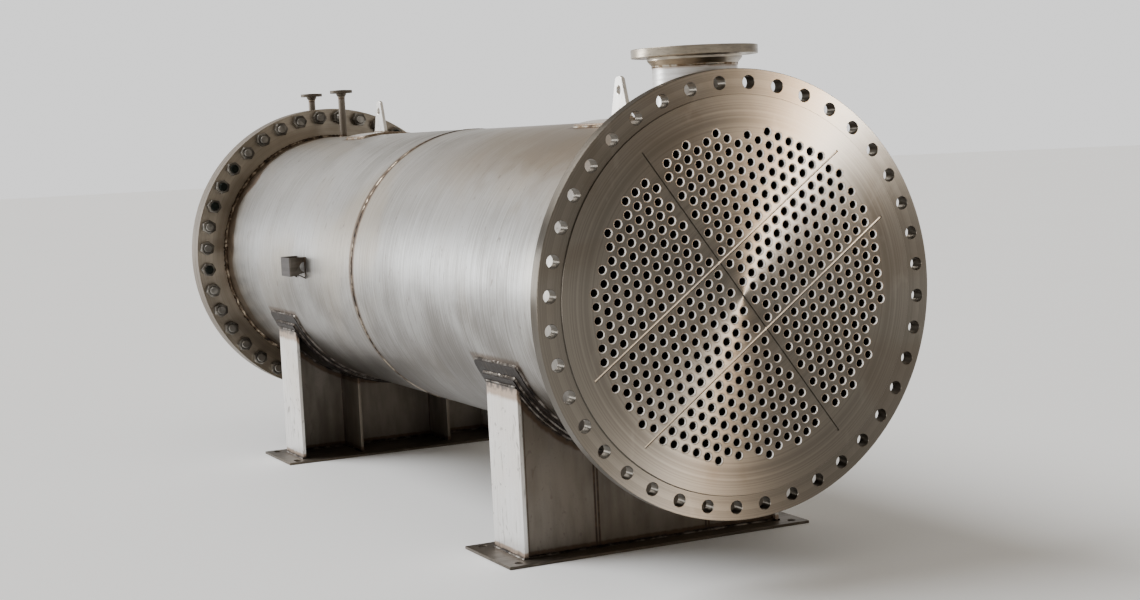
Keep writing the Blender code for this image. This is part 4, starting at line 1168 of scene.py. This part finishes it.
def build_bracket():
    """Name-plate bracket: sheet bent to a U, its legs notched, pierced and cut to a slant below."""
    node = "nameplate_bracket"
    face, foot = reach(node, X)
    front, back = reach(node, Y)
    low, high = reach(node, Z)
    sheet, bend, steps = 0.004, 0.010, 6
    bends = slice(steps + 1, 3 * (steps + 1))
    inner_front, inner_back, inner_face = front + sheet, back - sheet, face + sheet
    outer = rounded([(foot, front), (face, front), (face, back), (foot, back)], bend, steps)[bends]
    inner = [(foot, inner_back), (inner_face, inner_back), (inner_face, inner_front), (foot, inner_front)]
    inner = [inner[0]] + rounded(inner, bend - sheet, steps)[bends] + [inner[3]]
    outline = [(foot, front)] + outer + [(foot, back)] + inner
    work = shaped(add_plate, outline, [], low, high, plan_section, 0.0003)
    item = clothe(node, work, BRACKET_SHEET, "plate_steel")

    spare, strip, raised, radius, face_low = 0.02, 0.0035, 0.012, 0.021, low + 0.014
    inside, bent = foot - strip, (foot + face) / 2
    notch = [(inside, raised - radius), (inside, raised + radius)]
    notch += [(inside + a, raised + b) for a, b in arc(radius, pi / 2, 3 * pi / 2, 24)[1:-1]]
    window = [(inside, raised - radius - strip), (bent + strip, low + 0.022), (inside, low + 0.008)]
    below = [(face - spare, low - spare), (foot + spare, low - spare), (foot + spare, low), (foot, low)]
    below += [(bent, low + 0.019), (face, face_low), (face - spare, face_low)]
    for shape in (notch, window, below):
        cut_out(item, shape, front - spare, back + spare, cross_section)
    # Heat tint near the foot welds; the whole outer face is painted shade, darkened through the same heat
    # tint.
    paint_heat(item, lambda point: max(0.6 * near(point.x, foot, 0.02), 1.2 * (point.x < face + 0.002)))

    work = bmesh.new()
    for y, side in ((front, -1), (inner_front, 1), (inner_back, -1), (back, 1)):
        for start, end in ((radius, high), (-radius, -radius - 0.004)):
            add_straight_bead(work, (foot, y, start), (foot, y, end), (-1, side, 0), *BRACKET_BEAD)
    finish_piece("bracket_welds", work, DARK_WELD, "plate_steel")


def clothe_inner_nodes():
    """Finishes for the CAD nodes that stay as they are."""
    finishes = {"baffle": ROLLED_PLATE, "rear_partition": ROLLED_PLATE, "tie_rod": STUD_STEEL,
                "rear_gasket": GASKET_SHEET}
    for name, item in frame["nodes"].items():
        for start, material in finishes.items():
            if name.startswith(start):
                for slot in item.material_slots:
                    slot.material = material


# ---------------------------------------------------------------- stage
PALE_BACK = (1.25, 1.25, 1.25)
FRONT_GLOOM = (0.24, 0.212, 0.182)
CEILING = (0.44, 0.40, 0.345)


def build_floor():
    """A pale round floor."""
    radius, sides = 60.0, 96
    work = bmesh.new()
    work.faces.new(add_ring(work, [(a, b, 0.0) for a, b in circle(0.0, 0.0, radius, sides)]))
    floor = add_object("floor", work)
    floor.data.materials.append(floor_finish("pale_floor"))


def add_softbox(name, place, target, width, height, power, tint, lit):
    """A rectangular soft light that faces a target and reaches only the pieces in lit."""
    light = bpy.data.lights.new(name, "AREA")
    light.shape = "RECTANGLE"
    light.size = width
    light.size_y = height
    light.energy = power
    light.color = tint
    item = add_object(name, light, place)
    item.rotation_euler = (Vector(target) - Vector(place)).to_track_quat("-Z", "Y").to_euler()
    receivers = bpy.data.collections.new(name + "_receivers")
    for piece in lit:
        receivers.objects.link(bpy.data.objects[piece])
    item.light_linking.receiver_collection = receivers


def build_world():
    """A pale backdrop. What the steel mirrors is pale low down behind it, and dimmer above and in front."""
    world = bpy.data.worlds.new("studio")
    studio = NodeTree(world)
    place = studio.add("ShaderNodeTexCoord", {}).outputs["Generated"]
    split = studio.add("ShaderNodeSeparateXYZ", {0: place})
    behind = studio.add("ShaderNodeVectorMath", {0: place, 1: (-0.45, 1.0, 0.0)}, operation="DOT_PRODUCT")
    level = studio.mix(FRONT_GLOOM, PALE_BACK, studio.ease(behind.outputs["Value"], -0.30, 0.50))
    sky = studio.mix(level, CEILING, studio.ease(split.outputs[Z], 0.08, 0.42))
    seen = studio.mix(sky, PALE_BACK, studio.add("ShaderNodeLightPath", {}).outputs["Is Camera Ray"])
    studio.tree.links.new(seen, studio.tree.nodes["Background"].inputs["Color"])
    bpy.context.scene.world = world


def build_camera():
    """The camera, at the left of the front flange and a little above the axis."""
    camera = bpy.data.cameras.new("camera")
    camera.lens = 58.247
    camera.sensor_width = 36.0
    item = add_object("camera", camera)
    yaw, pitch, roll = radians(25.5143), radians(-5.2283), radians(-2.7466)
    forward = Vector((sin(yaw) * cos(pitch), cos(yaw) * cos(pitch), sin(pitch)))
    right = Vector((cos(yaw), -sin(yaw), 0.0))
    up = right.cross(forward)
    right, up = right * cos(roll) + up * sin(roll), up * cos(roll) - right * sin(roll)
    turn = Matrix((right, up, -forward)).transposed()
    place = ORIGIN + Vector((-2.94587, -4.92592, 0.53642))
    item.matrix_world = Matrix.Translation(place) @ turn.to_4x4()
    bpy.context.scene.camera = item


def build_lights():
    """A soft sun, a box from the back left for every piece, and boxes at the front for the bare tubesheet:
    two small and one broad that streak it, one that lights its edge, and one that lights the tube ends.
    """
    sun = bpy.data.lights.new("soft_sun", "SUN")
    sun.energy = 3.4
    sun.angle = radians(38)
    item = add_object("soft_sun", sun)
    item.rotation_euler = Vector((-0.55, 0.42, 0.72)).to_track_quat("Z", "Y").to_euler()
    meshes = [item.name for item in bpy.context.scene.objects if item.type == "MESH"]
    pieces = [name for name in meshes if name != "floor"]
    sheet = ["front_tubesheet_fine"]
    tubes = [f"tubes_of_pass_{number}" for number in range(1, len(PASSES) + 1)]
    warm, cool = Vector((0.63, -0.75, 0.207)), Vector((0.68, -0.71, 0.197))
    face, between = ORIGIN, (warm + cool) * 3.5
    low_front = (0.0, -0.8, 0.9)
    add_softbox("back_light", (-8.5, 8.0, 2.2), low_front, 4.0, 3.0, 440.0, (0.97, 0.99, 1.0), pieces)
    add_softbox("warm_streak", face + warm * 7, face, 0.5, 1.0, 290.0, (1.0, 0.68, 0.40), sheet + tubes)
    add_softbox("cool_streak", face + cool * 7, face, 0.4, 0.6, 330.0, (0.82, 0.91, 1.0), sheet + tubes)
    add_softbox("broad_streak", face + between, face, 1.8, 1.8, 130.0, (1.0, 0.93, 0.84), sheet)
    add_softbox("edge_light", (-6.0, -6.5, 1.2), face, 0.8, 2.4, 150.0, (1.0, 1.0, 1.0), sheet)
    add_softbox("bore_light", (-5.2, -6.2, 3.6), face, 1.0, 1.0, 700.0, (1.0, 0.98, 0.94), tubes)


def build_cooler():
    """Every visible piece of the cooler."""
    sites = tube_sites()
    all_sites = [site for group in sites.values() for site in group]
    build_front_tubesheet(all_sites)
    build_tubes(sites)
    build_rear_flange("rear_tubesheet", 0.0, REAR_SHEET_FRONT, REAR_SHEET_BACK, all_sites, 0.0004)
    build_rear_flange("rear_head_flange", SHELL_INNER, HEAD_FRONT, HEAD_FLANGE_BACK - GAP, [], CHAMFER)
    build_bolting()
    build_shell_course("shell_course_front", FRONT_SHEET_BACK + GAP, SEAM, ["inlet"])
    build_shell_course("shell_course_rear", SEAM + GAP, REAR_SHEET_FRONT - GAP, ["outlet", "shell_vent"])
    build_rear_head()
    build_ring_welds()
    for name in NOZZLES:
        build_nozzle(name)
    for label in ("front", "rear"):
        build_lug(label)
        build_saddle(label)
    build_bracket()
    clothe_inner_nodes()


build_camera()
build_cooler()
build_floor()
build_world()
build_lights()
